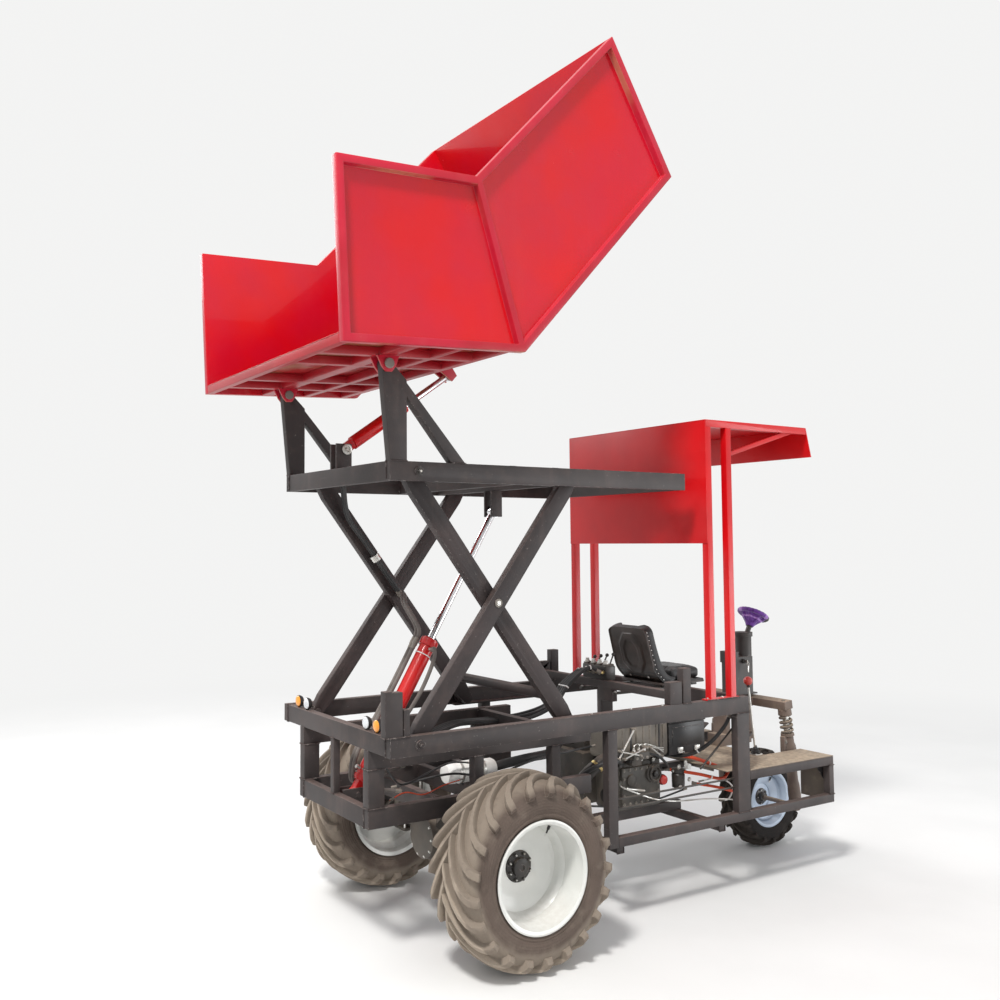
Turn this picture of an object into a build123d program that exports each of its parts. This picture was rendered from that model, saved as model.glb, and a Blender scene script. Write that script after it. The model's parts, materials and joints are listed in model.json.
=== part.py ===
from build123d import *
from math import asin, cos, degrees, hypot, radians, sin, tan
import os

# Three-wheeled site dumper with a scissor-lifted, rear-tipping skip.
# Millimetres. +X is forward, +Y is the driver's left, +Z is up, and the ground is Z = 0.
# The origin is on the ground, midway between the rearmost and foremost points of the machine.

os.makedirs("parts", exist_ok=True)

# ---------------------------------------------------------------- driving sizes

# Wheels
rear_tyre_radius = 493
rear_tyre_width = 390
rear_rim_radius = 280
rear_wheel_y = 755
front_tyre_radius = 340
front_tyre_width = 215
front_rim_radius = 195
axle_stub_radius = 40
front_axle_radius = 15

# Chassis, as distances from the rear axle along X
frame_half_width = 650
frame_rear = -725
frame_front = 1875
upper_top_z = 1210
upper_depth = 100
tube_width = 50
lower_half_width = 420
lower_top_z = 810
lower_depth = 100
lower_front = 770
mid_post_at = 735
front_post_width = 110
rail_bottom_z = 445
rail_depth = 55
nose_top_z = 745
nose_front = 2690
nose_slot_half_width = 390
nose_cross_at = 2270
cab_floor_rear = 1720
engine_rail_at = (800, 1690)
engine_rail_depth = 60
plate = 6

# Scissor
arm_pivot_at = -550
arm_length = 1746
arm_depth = 100
arm_thickness = 50
arm_gap = 5
arm_end_radius = 35
scissor_angle = 52.6
lowered_stop_z = 1440
pin_radius = 20
pin_head_radius = 27
pin_head_thickness = 8
roller_radius = 40
cross_tube_radius = 30
cross_tube_from_end = 200

# Platform
platform_inset = 5
platform_tube_width = 40
platform_depth = 100
platform_rear = -720
platform_front = 1355
lift_beam_from_roller = 155.5
middle_beam_from_lift_beam = 295

# Skip, laid out flat and then turned by the tip angle about its hinge
hinge_at = -736
hinge_height = 490
hinge_inset = 25
tip_angle = 46.5
skip_half_width = 950
skip_kink_u = 496
skip_floor_drop = 420
skip_floor_length = 1550
skip_ramp_length = 1050
skip_ramp_angle = 43.8
skip_rear_height = 880
skip_wall_height = 812
skip_front_lean = 15
skip_member = 45
skip_border = 40
sheet = 5

# Steering
rake = 8
steer_axis_at = 2585
crown_above_axle = 700
fork_offset = 45
fork_leg_y = 310
stem_radius = 25
head_tube_radius = 40
steering_wheel_radius = 115
steering_wheel_rim = 24
steering_wheel_lean = 28
steering_wheel_at = 2698
steering_wheel_z = 1640
column_at = 2590

# Running clearances
pin_clearance = 0.05
side_clearance = 4
roll_clearance = 0.5

# ---------------------------------------------------------------- derived places

pivot_z = upper_top_z - upper_depth / 2
platform_half_width = frame_half_width - platform_inset
hinge_y = platform_half_width - hinge_inset
crown_z = front_tyre_radius + crown_above_axle
raised_reach = arm_length * cos(radians(scissor_angle))
lift_beam_at = arm_pivot_at + raised_reach - lift_beam_from_roller
platform_pivot_z = pivot_z + arm_length * sin(radians(scissor_angle))
platform_bottom_z = platform_pivot_z - platform_depth / 2
platform_top_z = platform_bottom_z + platform_depth
hinge_z = platform_top_z + hinge_height

tip_cos, tip_sin = cos(radians(tip_angle)), sin(radians(tip_angle))
ramp_cos, ramp_sin = cos(radians(skip_ramp_angle)), sin(radians(skip_ramp_angle))

# Corners of the skip's side in its own plane: u is forward and w is up with the skip laid flat
ramp_foot = (skip_kink_u, -skip_floor_drop)
floor_front = (skip_kink_u + skip_floor_length, -skip_floor_drop)
wall_top = (
    floor_front[0] + skip_wall_height * tan(radians(skip_front_lean)),
    -skip_floor_drop + skip_wall_height,
)
ramp_rear = (
    ramp_foot[0] - skip_ramp_length * ramp_cos,
    ramp_foot[1] + skip_ramp_length * ramp_sin,
)
rear_top = (
    ramp_rear[0] + skip_rear_height * ramp_sin,
    ramp_rear[1] + skip_rear_height * ramp_cos,
)
kink_top = (
    rear_top[0] + (rear_top[1] - wall_top[1]) * ramp_cos / ramp_sin,
    wall_top[1],
)

rake_cos, rake_sin = cos(radians(rake)), sin(radians(rake))
front_axle_at = steer_axis_at + fork_offset / rake_cos + (crown_z - front_tyre_radius) * tan(radians(rake))

# The rear axle's X puts the origin midway along the whole machine
rear_reach = hinge_at + rear_top[0] * tip_cos - rear_top[1] * tip_sin
front_reach = front_axle_at + front_tyre_radius
axle_x = -(rear_reach + front_reach) / 2

hinge_x = axle_x + hinge_at
arm_x = axle_x + arm_pivot_at
steer_x = axle_x + steer_axis_at
front_axle_x = axle_x + front_axle_at
inner_face = frame_half_width - tube_width
outer_arm_y = inner_face - arm_gap
inner_arm_y = outer_arm_y - arm_thickness - arm_gap
platform_inner = platform_half_width - platform_tube_width
sides = (("right", -1), ("left", 1))


def block(x, y, z):
    """Add a box that spans the low and high ends of x, y and z."""
    with Locations(((x[0] + x[1]) / 2, (y[0] + y[1]) / 2, (z[0] + z[1]) / 2)):
        Box(x[1] - x[0], y[1] - y[0], z[1] - z[0])


def mirrored_block(x, y, z):
    """Add the box and its mirror image across the machine's middle."""
    block(x, y, z)
    block(x, (-y[1], -y[0]), z)


def cross_pin(x, z, radius, y_from, y_to):
    """Add a round pin along Y between two places."""
    with Locations(Location((x, (y_from + y_to) / 2, z), (90, 0, 0))):
        Cylinder(radius, abs(y_to - y_from))


def mirrored_pin(x, z, radius, y_from, y_to):
    """Add a pin along Y and its mirror image."""
    cross_pin(x, z, radius, y_from, y_to)
    cross_pin(x, z, radius, -y_from, -y_to)


# ---------------------------------------------------------------- chassis frame

upper_z = (upper_top_z - upper_depth, upper_top_z)
inner_rail_z = (upper_z[0] - upper_depth, upper_z[0])
lower_z = (lower_top_z - lower_depth, lower_top_z)
rail_z = (rail_bottom_z, rail_bottom_z + rail_depth)
nose_z = (nose_top_z - rail_depth, nose_top_z)
under_rail_z = (rail_z[0] - tube_width, rail_z[0])
side_y = (inner_face, frame_half_width)
lower_y = (lower_half_width - tube_width, lower_half_width)

# Side beams, the ledges that the inner arms' rollers run on, and the outer arms' rear pins
track_thickness = 10
lower_track_z = pivot_z - roller_radius
lowered_pivot_z = lowered_stop_z + platform_depth / 2
lowered_angle = degrees(asin((lowered_pivot_z - pivot_z) / arm_length))
lowered_reach = arm_length * cos(radians(lowered_angle))
track_x = (arm_x + raised_reach - 60, arm_x + lowered_reach + 70)
with BuildPart() as chassis_side_beams:
    mirrored_block((axle_x + frame_rear, axle_x + frame_front), side_y, upper_z)
    for rail_span in (inner_rail_z, lower_z):
        mirrored_block((axle_x + frame_rear, axle_x + lower_front), lower_y, rail_span)
    mirrored_block(
        track_x, (outer_arm_y - arm_thickness, inner_face), (lower_track_z - track_thickness, lower_track_z)
    )
    mirrored_pin(arm_x, pivot_z, pin_radius, outer_arm_y - arm_thickness - 3, inner_face)
    mirrored_pin(arm_x, pivot_z, pin_head_radius, frame_half_width, frame_half_width + pin_head_thickness)
chassis_side_beams.part.label = "chassis_side_beams"
export_step(chassis_side_beams.part, "parts/chassis_side_beams.step")

# Cross beams: place of the rear face from the axle, half width, bottom and top
cross_beam_rows = (
    (frame_rear, inner_face, upper_z),
    (510, lower_y[0], inner_rail_z),
    (frame_front - tube_width, inner_face, upper_z),
    (frame_rear, lower_y[0], lower_z),
    (-300, lower_y[0], lower_z),
    (300, lower_y[0], lower_z),
    (50, lower_y[0], lower_z),
    (nose_cross_at, inner_face, nose_z),
    (engine_rail_at[0], inner_face, under_rail_z),
    (engine_rail_at[1] - tube_width, inner_face, under_rail_z),
)
with BuildPart() as chassis_cross_beams:
    for at, half_width, span_z in cross_beam_rows:
        block((axle_x + at, axle_x + at + tube_width), (-half_width, half_width), span_z)
chassis_cross_beams.part.label = "chassis_cross_beams"
export_step(chassis_cross_beams.part, "parts/chassis_cross_beams.step")

# Posts: rear face from the axle, width along X, inner and outer Y, bottom and top
post_y = (lower_half_width - 60, lower_half_width)
post_rows = (
    (frame_rear, 97, post_y, (lower_z[1], inner_rail_z[0])),
    (-60, 60, post_y, (lower_z[1], inner_rail_z[0])),
    (480, 60, post_y, (lower_z[1], inner_rail_z[0])),
    (mid_post_at - 35, 70, side_y, (rail_z[0], upper_z[0])),
    (frame_front - front_post_width, front_post_width, side_y, (rail_z[1], upper_z[0])),
    (nose_front - 45, 45, side_y, (rail_z[1], nose_z[0])),
    (1303, 65, side_y, (upper_top_z, lowered_stop_z - 20)),
)
# Uprights that stand on the rear of the right side beam alone: rear face, width and top
rear_stop_rows = (
    (-753, 40, lowered_stop_z),
    (-713, 61, lowered_stop_z - 6),
    (-646, 35, lowered_stop_z - 95),
)
rear_middle_post_width = 40
with BuildPart() as chassis_posts:
    for at, width, span_y, span_z in post_rows:
        mirrored_block((axle_x + at, axle_x + at + width), span_y, span_z)
    block(
        (axle_x + frame_rear, axle_x + frame_rear + rear_middle_post_width),
        (-rear_middle_post_width / 2, rear_middle_post_width / 2),
        (lower_z[1], upper_z[0]),
    )
    for at, width, top_z in rear_stop_rows:
        block((axle_x + at, axle_x + at + width), (-side_y[1], -side_y[0]), (upper_top_z, top_z))
chassis_posts.part.label = "chassis_posts"
export_step(chassis_posts.part, "parts/chassis_posts.step")

# Lower side rails, the engine's rails, nose top rails and the rails along the wheel slot
engine_rail_rows = ((-240, -190), (250, 300))
engine_rail_z = (rail_bottom_z, rail_bottom_z + engine_rail_depth)
with BuildPart() as lower_rails:
    rail_start = axle_x + mid_post_at + 35
    post_front = axle_x + frame_front
    mirrored_block((rail_start, axle_x + nose_front), side_y, rail_z)
    mirrored_block((post_front, axle_x + nose_front), side_y, nose_z)
    slot_y = (nose_slot_half_width, nose_slot_half_width + rail_depth)
    mirrored_block((axle_x + nose_cross_at + tube_width, axle_x + nose_front), slot_y, nose_z)
    for low, high in engine_rail_rows:
        block((axle_x + engine_rail_at[0], axle_x + engine_rail_at[1]), (low, high), engine_rail_z)
lower_rails.part.label = "lower_rails"
export_step(lower_rails.part, "parts/lower_rails.step")

# The plates that close the nose's ends and the plates for the driver's feet beside the wheel
with BuildPart() as nose_plates:
    mirrored_block(
        (axle_x + nose_front - plate, axle_x + nose_front), (slot_y[0], inner_face), (rail_z[0], nose_z[0]),
    )
    mirrored_block(
        (axle_x + nose_cross_at + tube_width, axle_x + nose_front),
        (slot_y[0], frame_half_width),
        (nose_top_z, nose_top_z + plate),
    )
nose_plates.part.label = "nose_plates"
export_step(nose_plates.part, "parts/nose_plates.step")

floor_z = (nose_top_z, nose_top_z + plate)
with BuildPart() as cab_floor:
    block((axle_x + cab_floor_rear, axle_x + frame_front), (-inner_face, inner_face), floor_z)
    block(
        (axle_x + frame_front, axle_x + nose_cross_at + tube_width),
        (-frame_half_width, frame_half_width),
        floor_z,
    )
cab_floor.part.label = "cab_floor"
export_step(cab_floor.part, "parts/cab_floor.step")

# ---------------------------------------------------------------- rear axle

axle_z = rear_tyre_radius
axle_tube_radius = 55
axle_end_y = 600
housing_radius = 150
housing_half_width = 110
stub_past_wheel = 20
drive_input_at = 180
drive_input_radius = 60
drive_input_length = 160
axle_seat_half_length = 90
with BuildPart() as rear_axle:
    cross_pin(axle_x, axle_z, axle_tube_radius, -axle_end_y, axle_end_y)
    cross_pin(axle_x, axle_z, housing_radius, -housing_half_width, housing_half_width)
    cross_pin(
        axle_x, axle_z, axle_stub_radius, -rear_wheel_y - stub_past_wheel, rear_wheel_y + stub_past_wheel
    )
    with Locations(Location((axle_x + drive_input_at, 0, axle_z), (0, 90, 0))):
        Cylinder(drive_input_radius, drive_input_length)
    mirrored_block(
        (axle_x - axle_seat_half_length, axle_x + axle_seat_half_length), lower_y, (axle_z, lower_z[0])
    )
rear_axle.part.label = "rear_axle"
export_step(rear_axle.part, "parts/rear_axle.step")


# ---------------------------------------------------------------- wheels

def wheel_plane(x, y, z, side):
    """A plane through a wheel's middle: its X is radial and its Y points outboard."""
    return Plane(origin=(x, y, z), x_dir=(1, 0, 0), z_dir=(0, 0, side))


def tyre_part(plane, radius, bead, width):
    """A hollow tyre, from its beads to its tread, turned about the wheel's axis."""
    half = width / 2
    wall = 22
    bead_inset = 10
    bead_height = 20
    shoulder = 45
    tread_round = 12
    with BuildPart() as tyre:
        with BuildSketch(plane):
            with BuildLine():
                Polyline(
                    (bead - bead_inset, half * 0.72), (bead + bead_height, half * 0.93),
                    ((bead + radius) / 2, half),
                    (radius - shoulder, half * 0.97), (radius - tread_round, half * 0.86), (radius, half * 0.5),
                    (radius, -half * 0.5), (radius - tread_round, -half * 0.86),
                    (radius - shoulder, -half * 0.97),
                    ((bead + radius) / 2, -half), (bead + bead_height, -half * 0.93),
                    (bead - bead_inset, -half * 0.72),
                    close=True,
                )
            make_face()
            with BuildLine():
                Polyline(
                    (bead - 2 * bead_inset, half * 0.72 - wall), (bead + wall, half * 0.93 - wall),
                    (radius - 2 * wall, half * 0.93 - wall), (radius - 2 * wall, -half * 0.93 + wall),
                    (bead + wall, -half * 0.93 + wall), (bead - 2 * bead_inset, -half * 0.72 + wall),
                    close=True,
                )
            make_face(mode=Mode.SUBTRACT)
        revolve(axis=Axis(plane.origin, plane.y_dir))
    return tyre


def rim_part(plane, radius, width, disc_at, hub_radius, hub_length, bore):
    """A dished wheel rim with its disc and hub, turned about the wheel's axis."""
    half = width / 2
    shell = 7
    well = 17
    drop = radius - well
    with BuildPart() as rim:
        with BuildSketch(plane):
            with BuildLine():
                Polyline(
                    (drop, -half), (radius, -half), (radius, -half + shell), (drop + shell, -half + shell),
                    (drop + shell, half - shell), (radius, half - shell), (radius, half), (drop, half),
                    (drop, disc_at + shell), (hub_radius, disc_at + shell),
                    (hub_radius, disc_at + hub_length / 2), (bore, disc_at + hub_length / 2),
                    (bore, disc_at - hub_length / 2), (hub_radius, disc_at - hub_length / 2),
                    (hub_radius, disc_at - shell), (drop, disc_at - shell),
                    close=True,
                )
            make_face()
        revolve(axis=Axis(plane.origin, plane.y_dir))
    return rim


rear_rim_width = rear_tyre_width * 0.96
front_rim_width = front_tyre_width * 0.9
# How far outboard of the rim's middle its disc is, then the hub's radius and length
rear_disc = (-40, 85, 110)
front_disc = (0, 60, 200)
for side_name, side in sides:
    plane_of_wheel = wheel_plane(axle_x, side * rear_wheel_y, axle_z, side)
    rear_tyre = tyre_part(plane_of_wheel, rear_tyre_radius, rear_rim_radius, rear_tyre_width)
    rear_tyre.part.label = f"rear_tyre_{side_name}"
    export_step(rear_tyre.part, f"parts/rear_tyre_{side_name}.step")
    rear_rim = rim_part(
        plane_of_wheel, rear_rim_radius, rear_rim_width, *rear_disc, axle_stub_radius + pin_clearance
    )
    rear_rim.part.label = f"rear_rim_{side_name}"
    export_step(rear_rim.part, f"parts/rear_rim_{side_name}.step")

front_plane = wheel_plane(front_axle_x, 0, front_tyre_radius, -1)
front_tyre = tyre_part(front_plane, front_tyre_radius, front_rim_radius, front_tyre_width)
front_tyre.part.label = "front_tyre"
export_step(front_tyre.part, "parts/front_tyre.step")
front_rim = rim_part(
    front_plane, front_rim_radius, front_rim_width, *front_disc, front_axle_radius + pin_clearance
)
front_rim.part.label = "front_rim"
export_step(front_rim.part, "parts/front_rim.step")

# ---------------------------------------------------------------- front fork and steering

fork_plane = Plane(
    origin=(steer_x, 0, crown_z), x_dir=(rake_cos, 0, rake_sin), z_dir=(-rake_sin, 0, rake_cos)
)
leg_length = (crown_z - front_tyre_radius) / rake_cos + fork_offset * rake_sin / rake_cos
crown_depth = 57
crown_arm = 80
crown_rear_width = 150
stem_length = 250
with BuildPart() as fork_crown:
    with BuildSketch(fork_plane.offset(-crown_depth / 2)):
        with Locations((fork_offset / 2, 0)):
            Rectangle(fork_offset + crown_arm, crown_rear_width)
        with Locations((fork_offset, 0)):
            Rectangle(crown_arm, 2 * fork_leg_y + crown_arm)
    extrude(amount=crown_depth)
    with BuildSketch(fork_plane.offset(-crown_depth / 2)):
        Circle(stem_radius)
    extrude(amount=-stem_length)
fork_crown.part.label = "fork_crown"
export_step(fork_crown.part, "parts/fork_crown.step")

spring_top = -crown_depth / 2
spring_bottom = -340
spring_radius = 40
slider_radius = 26
axle_lug = 40
with BuildPart() as fork_legs:
    for _, side in sides:
        with BuildSketch(fork_plane.offset(spring_top)):
            with Locations((fork_offset, side * fork_leg_y)):
                Circle(spring_radius)
        extrude(amount=spring_bottom - spring_top)
        with BuildSketch(fork_plane.offset(spring_bottom)):
            with Locations((fork_offset, side * fork_leg_y)):
                Circle(slider_radius)
        extrude(amount=-(leg_length + spring_bottom) - axle_lug)
    cross_pin(front_axle_x, front_tyre_radius, front_axle_radius, -fork_leg_y, fork_leg_y)
fork_legs.part.label = "fork_legs"
export_step(fork_legs.part, "parts/fork_legs.step")

head_length = 240
head_arm_depth = 80
head_arm_z = (crown_z - stem_length - 39, crown_z - stem_length - 39 + head_arm_depth)
head_foot_x = steer_x + (crown_z - head_arm_z[0] + plate) * tan(radians(rake)) - head_tube_radius
head_post_x = (axle_x + nose_cross_at + 60, axle_x + nose_cross_at + 100)
head_post_above_crown = 50
head_y = (-60, 60)
with BuildPart() as steering_head:
    block((axle_x + nose_cross_at, head_foot_x), head_y, head_arm_z)
    block(
        (axle_x + nose_cross_at, axle_x + nose_cross_at + tube_width), head_y,
        (nose_top_z + plate, head_arm_z[1]),
    )
    block(head_post_x, head_y, (head_arm_z[0], crown_z + head_post_above_crown))
    with BuildSketch(fork_plane.offset(-crown_depth / 2 - side_clearance)):
        Circle(head_tube_radius)
    extrude(amount=-head_length)
    with BuildSketch(fork_plane.offset(-crown_depth / 2)):
        Circle(stem_radius + pin_clearance)
    extrude(amount=-head_length - head_arm_depth, mode=Mode.SUBTRACT)
steering_head.part.label = "steering_head"
export_step(steering_head.part, "parts/steering_head.step")

column_x = axle_x + column_at
column_foot_thickness = 10
column_foot_z = crown_z + head_post_above_crown + column_foot_thickness
column_foot_front = column_x + 70
column_box_x = (column_x - 160, column_x + 25)
column_box_top_z = 1360
column_neck_radius = 57
column_top_z = 1500
column_collar = (66, 30)
display_x = (column_x - 176, column_x - 120)
display_z = (1317, 1398)
steering_shaft_radius = 18
steering_shaft_length = 150
steering_shaft_gap = 0.3
lean_cos, lean_sin = cos(radians(steering_wheel_lean)), sin(radians(steering_wheel_lean))
steering_wheel_plane = Plane(
    origin=(axle_x + steering_wheel_at, 0, steering_wheel_z),
    x_dir=(lean_cos, 0, -lean_sin), z_dir=(lean_sin, 0, lean_cos),
)
with BuildPart() as steering_column:
    block((head_post_x[0], column_foot_front), head_y, (column_foot_z - column_foot_thickness, column_foot_z))
    block(column_box_x, head_y, (column_foot_z, column_box_top_z))
    block(display_x, head_y, display_z)
    with Locations((column_x, 0, (column_box_top_z + column_top_z) / 2)):
        Cylinder(column_neck_radius, column_top_z - column_box_top_z)
    with Locations((column_x, 0, column_top_z + column_collar[1] / 2)):
        Cylinder(*column_collar)
    with BuildSketch(steering_wheel_plane.offset(-steering_shaft_gap)):
        Circle(steering_shaft_radius)
    extrude(amount=-steering_shaft_length)
steering_column.part.label = "steering_column"
export_step(steering_column.part, "parts/steering_column.step")

with BuildPart() as steering_wheel:
    with BuildSketch(steering_wheel_plane):
        Circle(steering_wheel_radius)
        Circle(steering_wheel_radius - steering_wheel_rim, mode=Mode.SUBTRACT)
        for turn in (0, 120, 240):
            with Locations(Rot(0, 0, turn) * Pos(steering_wheel_radius / 2, 0)):
                Rectangle(steering_wheel_radius - steering_wheel_rim / 2, steering_wheel_rim)
        Circle(1.2 * steering_wheel_rim)
    extrude(amount=steering_wheel_rim)
steering_wheel.part.label = "steering_wheel"
export_step(steering_wheel.part, "parts/steering_wheel.step")

# ---------------------------------------------------------------- engine bay

# Plain masses: low and high X from the axle, low and high Y, low and high Z
mass_rows = (
    ("engine_block", (1020, 1600), (-60, 330), (engine_rail_z[1], 960)),
    ("gearbox", (1100, 1500), (-300, -60), (engine_rail_z[1], 825)),
    ("fuel_tank", (1060, 1500), (-330, -60), (825, 1075)),
    ("battery_box", (1500, 1820), (-330, -60), (825, 1045)),
    ("air_cleaner", (-100, 240), (-230, -110), (lower_top_z, lower_top_z + 120)),
)
for mass_name, span_x, span_y, span_z in mass_rows:
    with BuildPart() as mass:
        block((axle_x + span_x[0], axle_x + span_x[1]), span_y, span_z)
    mass.part.label = mass_name
    export_step(mass.part, f"parts/{mass_name}.step")

# Thin rods along the right side: rear and front ends from the axle, and height
rod_radius = 6
side_rod_y = -frame_half_width + 40
side_rod_rows = (
    (mid_post_at + 35, frame_front - front_post_width, rail_z[1] + 205),
    (mid_post_at + 35, frame_front - front_post_width, rail_z[1] + 150),
)
sloping_rod_y = -inner_face + 50
sloping_rod_pin_radius = 8
sloping_rod = ((axle_x + 1840, 1005), (axle_x + 1540, 778))
with BuildPart() as control_rods:
    for rear_at, front_at, rod_z in side_rod_rows:
        with Locations(Location((axle_x + (rear_at + front_at) / 2, side_rod_y, rod_z), (0, 90, 0))):
            Cylinder(rod_radius, front_at - rear_at)
    rod_run = hypot(sloping_rod[1][0] - sloping_rod[0][0], sloping_rod[1][1] - sloping_rod[0][1])
    rod_plane = Plane(
        origin=(sloping_rod[0][0], sloping_rod_y, sloping_rod[0][1]),
        z_dir=(sloping_rod[1][0] - sloping_rod[0][0], 0, sloping_rod[1][1] - sloping_rod[0][1]),
    )
    with BuildSketch(rod_plane):
        Circle(rod_radius)
    extrude(amount=rod_run)
    cross_pin(
        sloping_rod[0][0], sloping_rod[0][1], sloping_rod_pin_radius, -inner_face, sloping_rod_y + rod_radius
    )
control_rods.part.label = "control_rods"
export_step(control_rods.part, "parts/control_rods.step")

# Gear lever with a ball knob, standing on the cab floor
lever_foot = (axle_x + 2280, -350, floor_z[1] + plate / 2)
lever_top = (axle_x + 2222, -350, 1245)
lever_radius = 7
lever_foot_radius = 35
knob_radius = 30
lever_plane = Plane(
    origin=lever_foot, z_dir=(lever_top[0] - lever_foot[0], 0, lever_top[2] - lever_foot[2])
)
with BuildPart() as gear_lever:
    with BuildSketch(lever_plane):
        Circle(lever_radius)
    extrude(amount=lever_top[2] - lever_foot[2])
    with Locations((lever_foot[0], lever_foot[1], floor_z[1] + plate / 2)):
        Box(2 * lever_foot_radius, 2 * lever_foot_radius, plate)
    with Locations(lever_top):
        Sphere(knob_radius)
gear_lever.part.label = "gear_lever"
export_step(gear_lever.part, "parts/gear_lever.step")

# ---------------------------------------------------------------- seat

# The beam behind the seat, its short end posts and the mount under its middle
seat_beam_x = (axle_x + 1200, axle_x + 1250)
seat_beam_z = (upper_top_z + 30, upper_top_z + 80)
seat_beam_post_x = (axle_x + 1192, axle_x + 1292)
seat_beam_post_z = (upper_top_z, upper_top_z + 134)
seat_beam_mount = ((-130, 0), (seat_beam_z[0] - 80, seat_beam_z[0]))
with BuildPart() as seat_beam:
    block(seat_beam_x, (-inner_face, inner_face), seat_beam_z)
    mirrored_block(seat_beam_post_x, side_y, seat_beam_post_z)
    block(seat_beam_x, *seat_beam_mount)
seat_beam.part.label = "seat_beam"
export_step(seat_beam.part, "parts/seat_beam.step")

valve_block_x = (seat_beam_x[0] - 5, seat_beam_x[1] + 40)
valve_block_y = (-90, 160)
valve_block_height = 120
with BuildPart() as valve_block:
    block(valve_block_x, valve_block_y, (seat_beam_z[1], seat_beam_z[1] + valve_block_height))
valve_block.part.label = "valve_block"
export_step(valve_block.part, "parts/valve_block.step")

# Shell: a leaning back and a flat pan, on two rails from the seat beam to the front cross beam
seat_half_width = 195
seat_pan_front = axle_x + 1982
seat_pan_z = (seat_beam_z[0], seat_beam_z[0] + 25)
seat_back_rear = axle_x + 1445
seat_top_z = 1625
seat_rail_y = (140, 180)
with BuildPart() as seat_shell:
    with BuildSketch(Plane.XZ.offset(-seat_half_width)):
        with BuildLine():
            Polyline(
                (seat_pan_front, seat_pan_z[0]), (seat_back_rear + 190, seat_pan_z[0]),
                (seat_back_rear + 81, seat_top_z - 288), (seat_back_rear, seat_top_z),
                (seat_back_rear + 44, seat_top_z + 10), (seat_back_rear + 130, seat_top_z - 270),
                (seat_back_rear + 225, seat_pan_z[1]), (seat_pan_front, seat_pan_z[1]),
                close=True,
            )
        make_face()
    extrude(amount=2 * seat_half_width)
    mirrored_block((seat_beam_x[0], axle_x + frame_front - 5), seat_rail_y, (upper_top_z, seat_pan_z[0]))
seat_shell.part.label = "seat_shell"
export_step(seat_shell.part, "parts/seat_shell.step")

cushion_gap = 0.2
cushion_thickness = 80
with BuildPart() as seat_cushion:
    block(
        (seat_back_rear + 245, seat_pan_front - 10),
        (-seat_half_width + 15, seat_half_width - 15),
        (seat_pan_z[1] + cushion_gap, seat_pan_z[1] + cushion_gap + cushion_thickness),
    )
seat_cushion.part.label = "seat_cushion"
export_step(seat_cushion.part, "parts/seat_cushion.step")

# ---------------------------------------------------------------- canopy

canopy_tube = 45
canopy_top_z = 2945
canopy_roof_front = 2495
canopy_post_at = (1538, 1718)
canopy_panel_bottom_z = 2172
canopy_visor_bottom_z = 2750
canopy_foot = (1505, 1790, 8)
brace_depth = 26
brace_low_z = 2724
brace_reach = 2262
canopy_y = (frame_half_width - canopy_tube, frame_half_width)
post_foot_z = upper_top_z + canopy_foot[2]
post_head_z = canopy_top_z - canopy_tube
brace_y = (canopy_y[0] + 10, canopy_y[1] - 10)
with BuildPart() as canopy_posts:
    mirrored_block((axle_x + canopy_foot[0], axle_x + canopy_foot[1]), canopy_y, (upper_top_z, post_foot_z))
    for at in canopy_post_at:
        mirrored_block((axle_x + at, axle_x + at + canopy_tube), canopy_y, (post_foot_z, post_head_z))
    for brace_side in (brace_y[0], -brace_y[1]):
        brace_rear = axle_x + canopy_post_at[1] + canopy_tube
        with BuildSketch(Plane.XZ.offset(-brace_side)):
            Polygon(
                (brace_rear, brace_low_z), (brace_rear, brace_low_z + brace_depth),
                (axle_x + brace_reach, post_head_z), (axle_x + brace_reach + 4 * brace_depth, post_head_z),
                align=None,
            )
        extrude(amount=brace_y[0] - brace_y[1])
canopy_posts.part.label = "canopy_posts"
export_step(canopy_posts.part, "parts/canopy_posts.step")

with BuildPart() as canopy_back_panel:
    block(
        (axle_x + canopy_post_at[0] - sheet, axle_x + canopy_post_at[0]),
        (-frame_half_width, frame_half_width),
        (canopy_panel_bottom_z, canopy_top_z - sheet),
    )
canopy_back_panel.part.label = "canopy_back_panel"
export_step(canopy_back_panel.part, "parts/canopy_back_panel.step")

with BuildPart() as canopy_roof:
    block(
        (axle_x + canopy_post_at[0] - sheet, axle_x + canopy_roof_front),
        (-frame_half_width, frame_half_width),
        (canopy_top_z - sheet, canopy_top_z),
    )
    mirrored_block(
        (axle_x + canopy_post_at[0], axle_x + canopy_roof_front), canopy_y,
        (canopy_top_z - canopy_tube, canopy_top_z - sheet),
    )
canopy_roof.part.label = "canopy_roof"
export_step(canopy_roof.part, "parts/canopy_roof.step")

with BuildPart() as canopy_visor:
    with BuildSketch(Plane.XZ.offset(-frame_half_width)):
        with BuildLine():
            Polyline(
                (axle_x + canopy_roof_front, canopy_top_z), (axle_x + canopy_roof_front, canopy_top_z - 12),
                (axle_x + canopy_roof_front + 45, canopy_visor_bottom_z),
                (axle_x + canopy_roof_front + 52, canopy_visor_bottom_z),
                close=True,
            )
        make_face()
    extrude(amount=2 * frame_half_width)
canopy_visor.part.label = "canopy_visor"
export_step(canopy_visor.part, "parts/canopy_visor.step")

# Rear lamps on the rear cross beam, and the Y of each lamp's middle
lamp_radius = 35
lamp_length = 40
lamp_rows = (-480, -365, 365, 480)
with BuildPart() as rear_lamps:
    for lamp_y in lamp_rows:
        with Locations(
            Location((axle_x + frame_rear + lamp_length / 2, lamp_y, upper_top_z + lamp_radius), (0, 90, 0))
        ):
            Cylinder(lamp_radius, lamp_length)
rear_lamps.part.label = "rear_lamps"
export_step(rear_lamps.part, "parts/rear_lamps.step")

# ---------------------------------------------------------------- scissor

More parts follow.
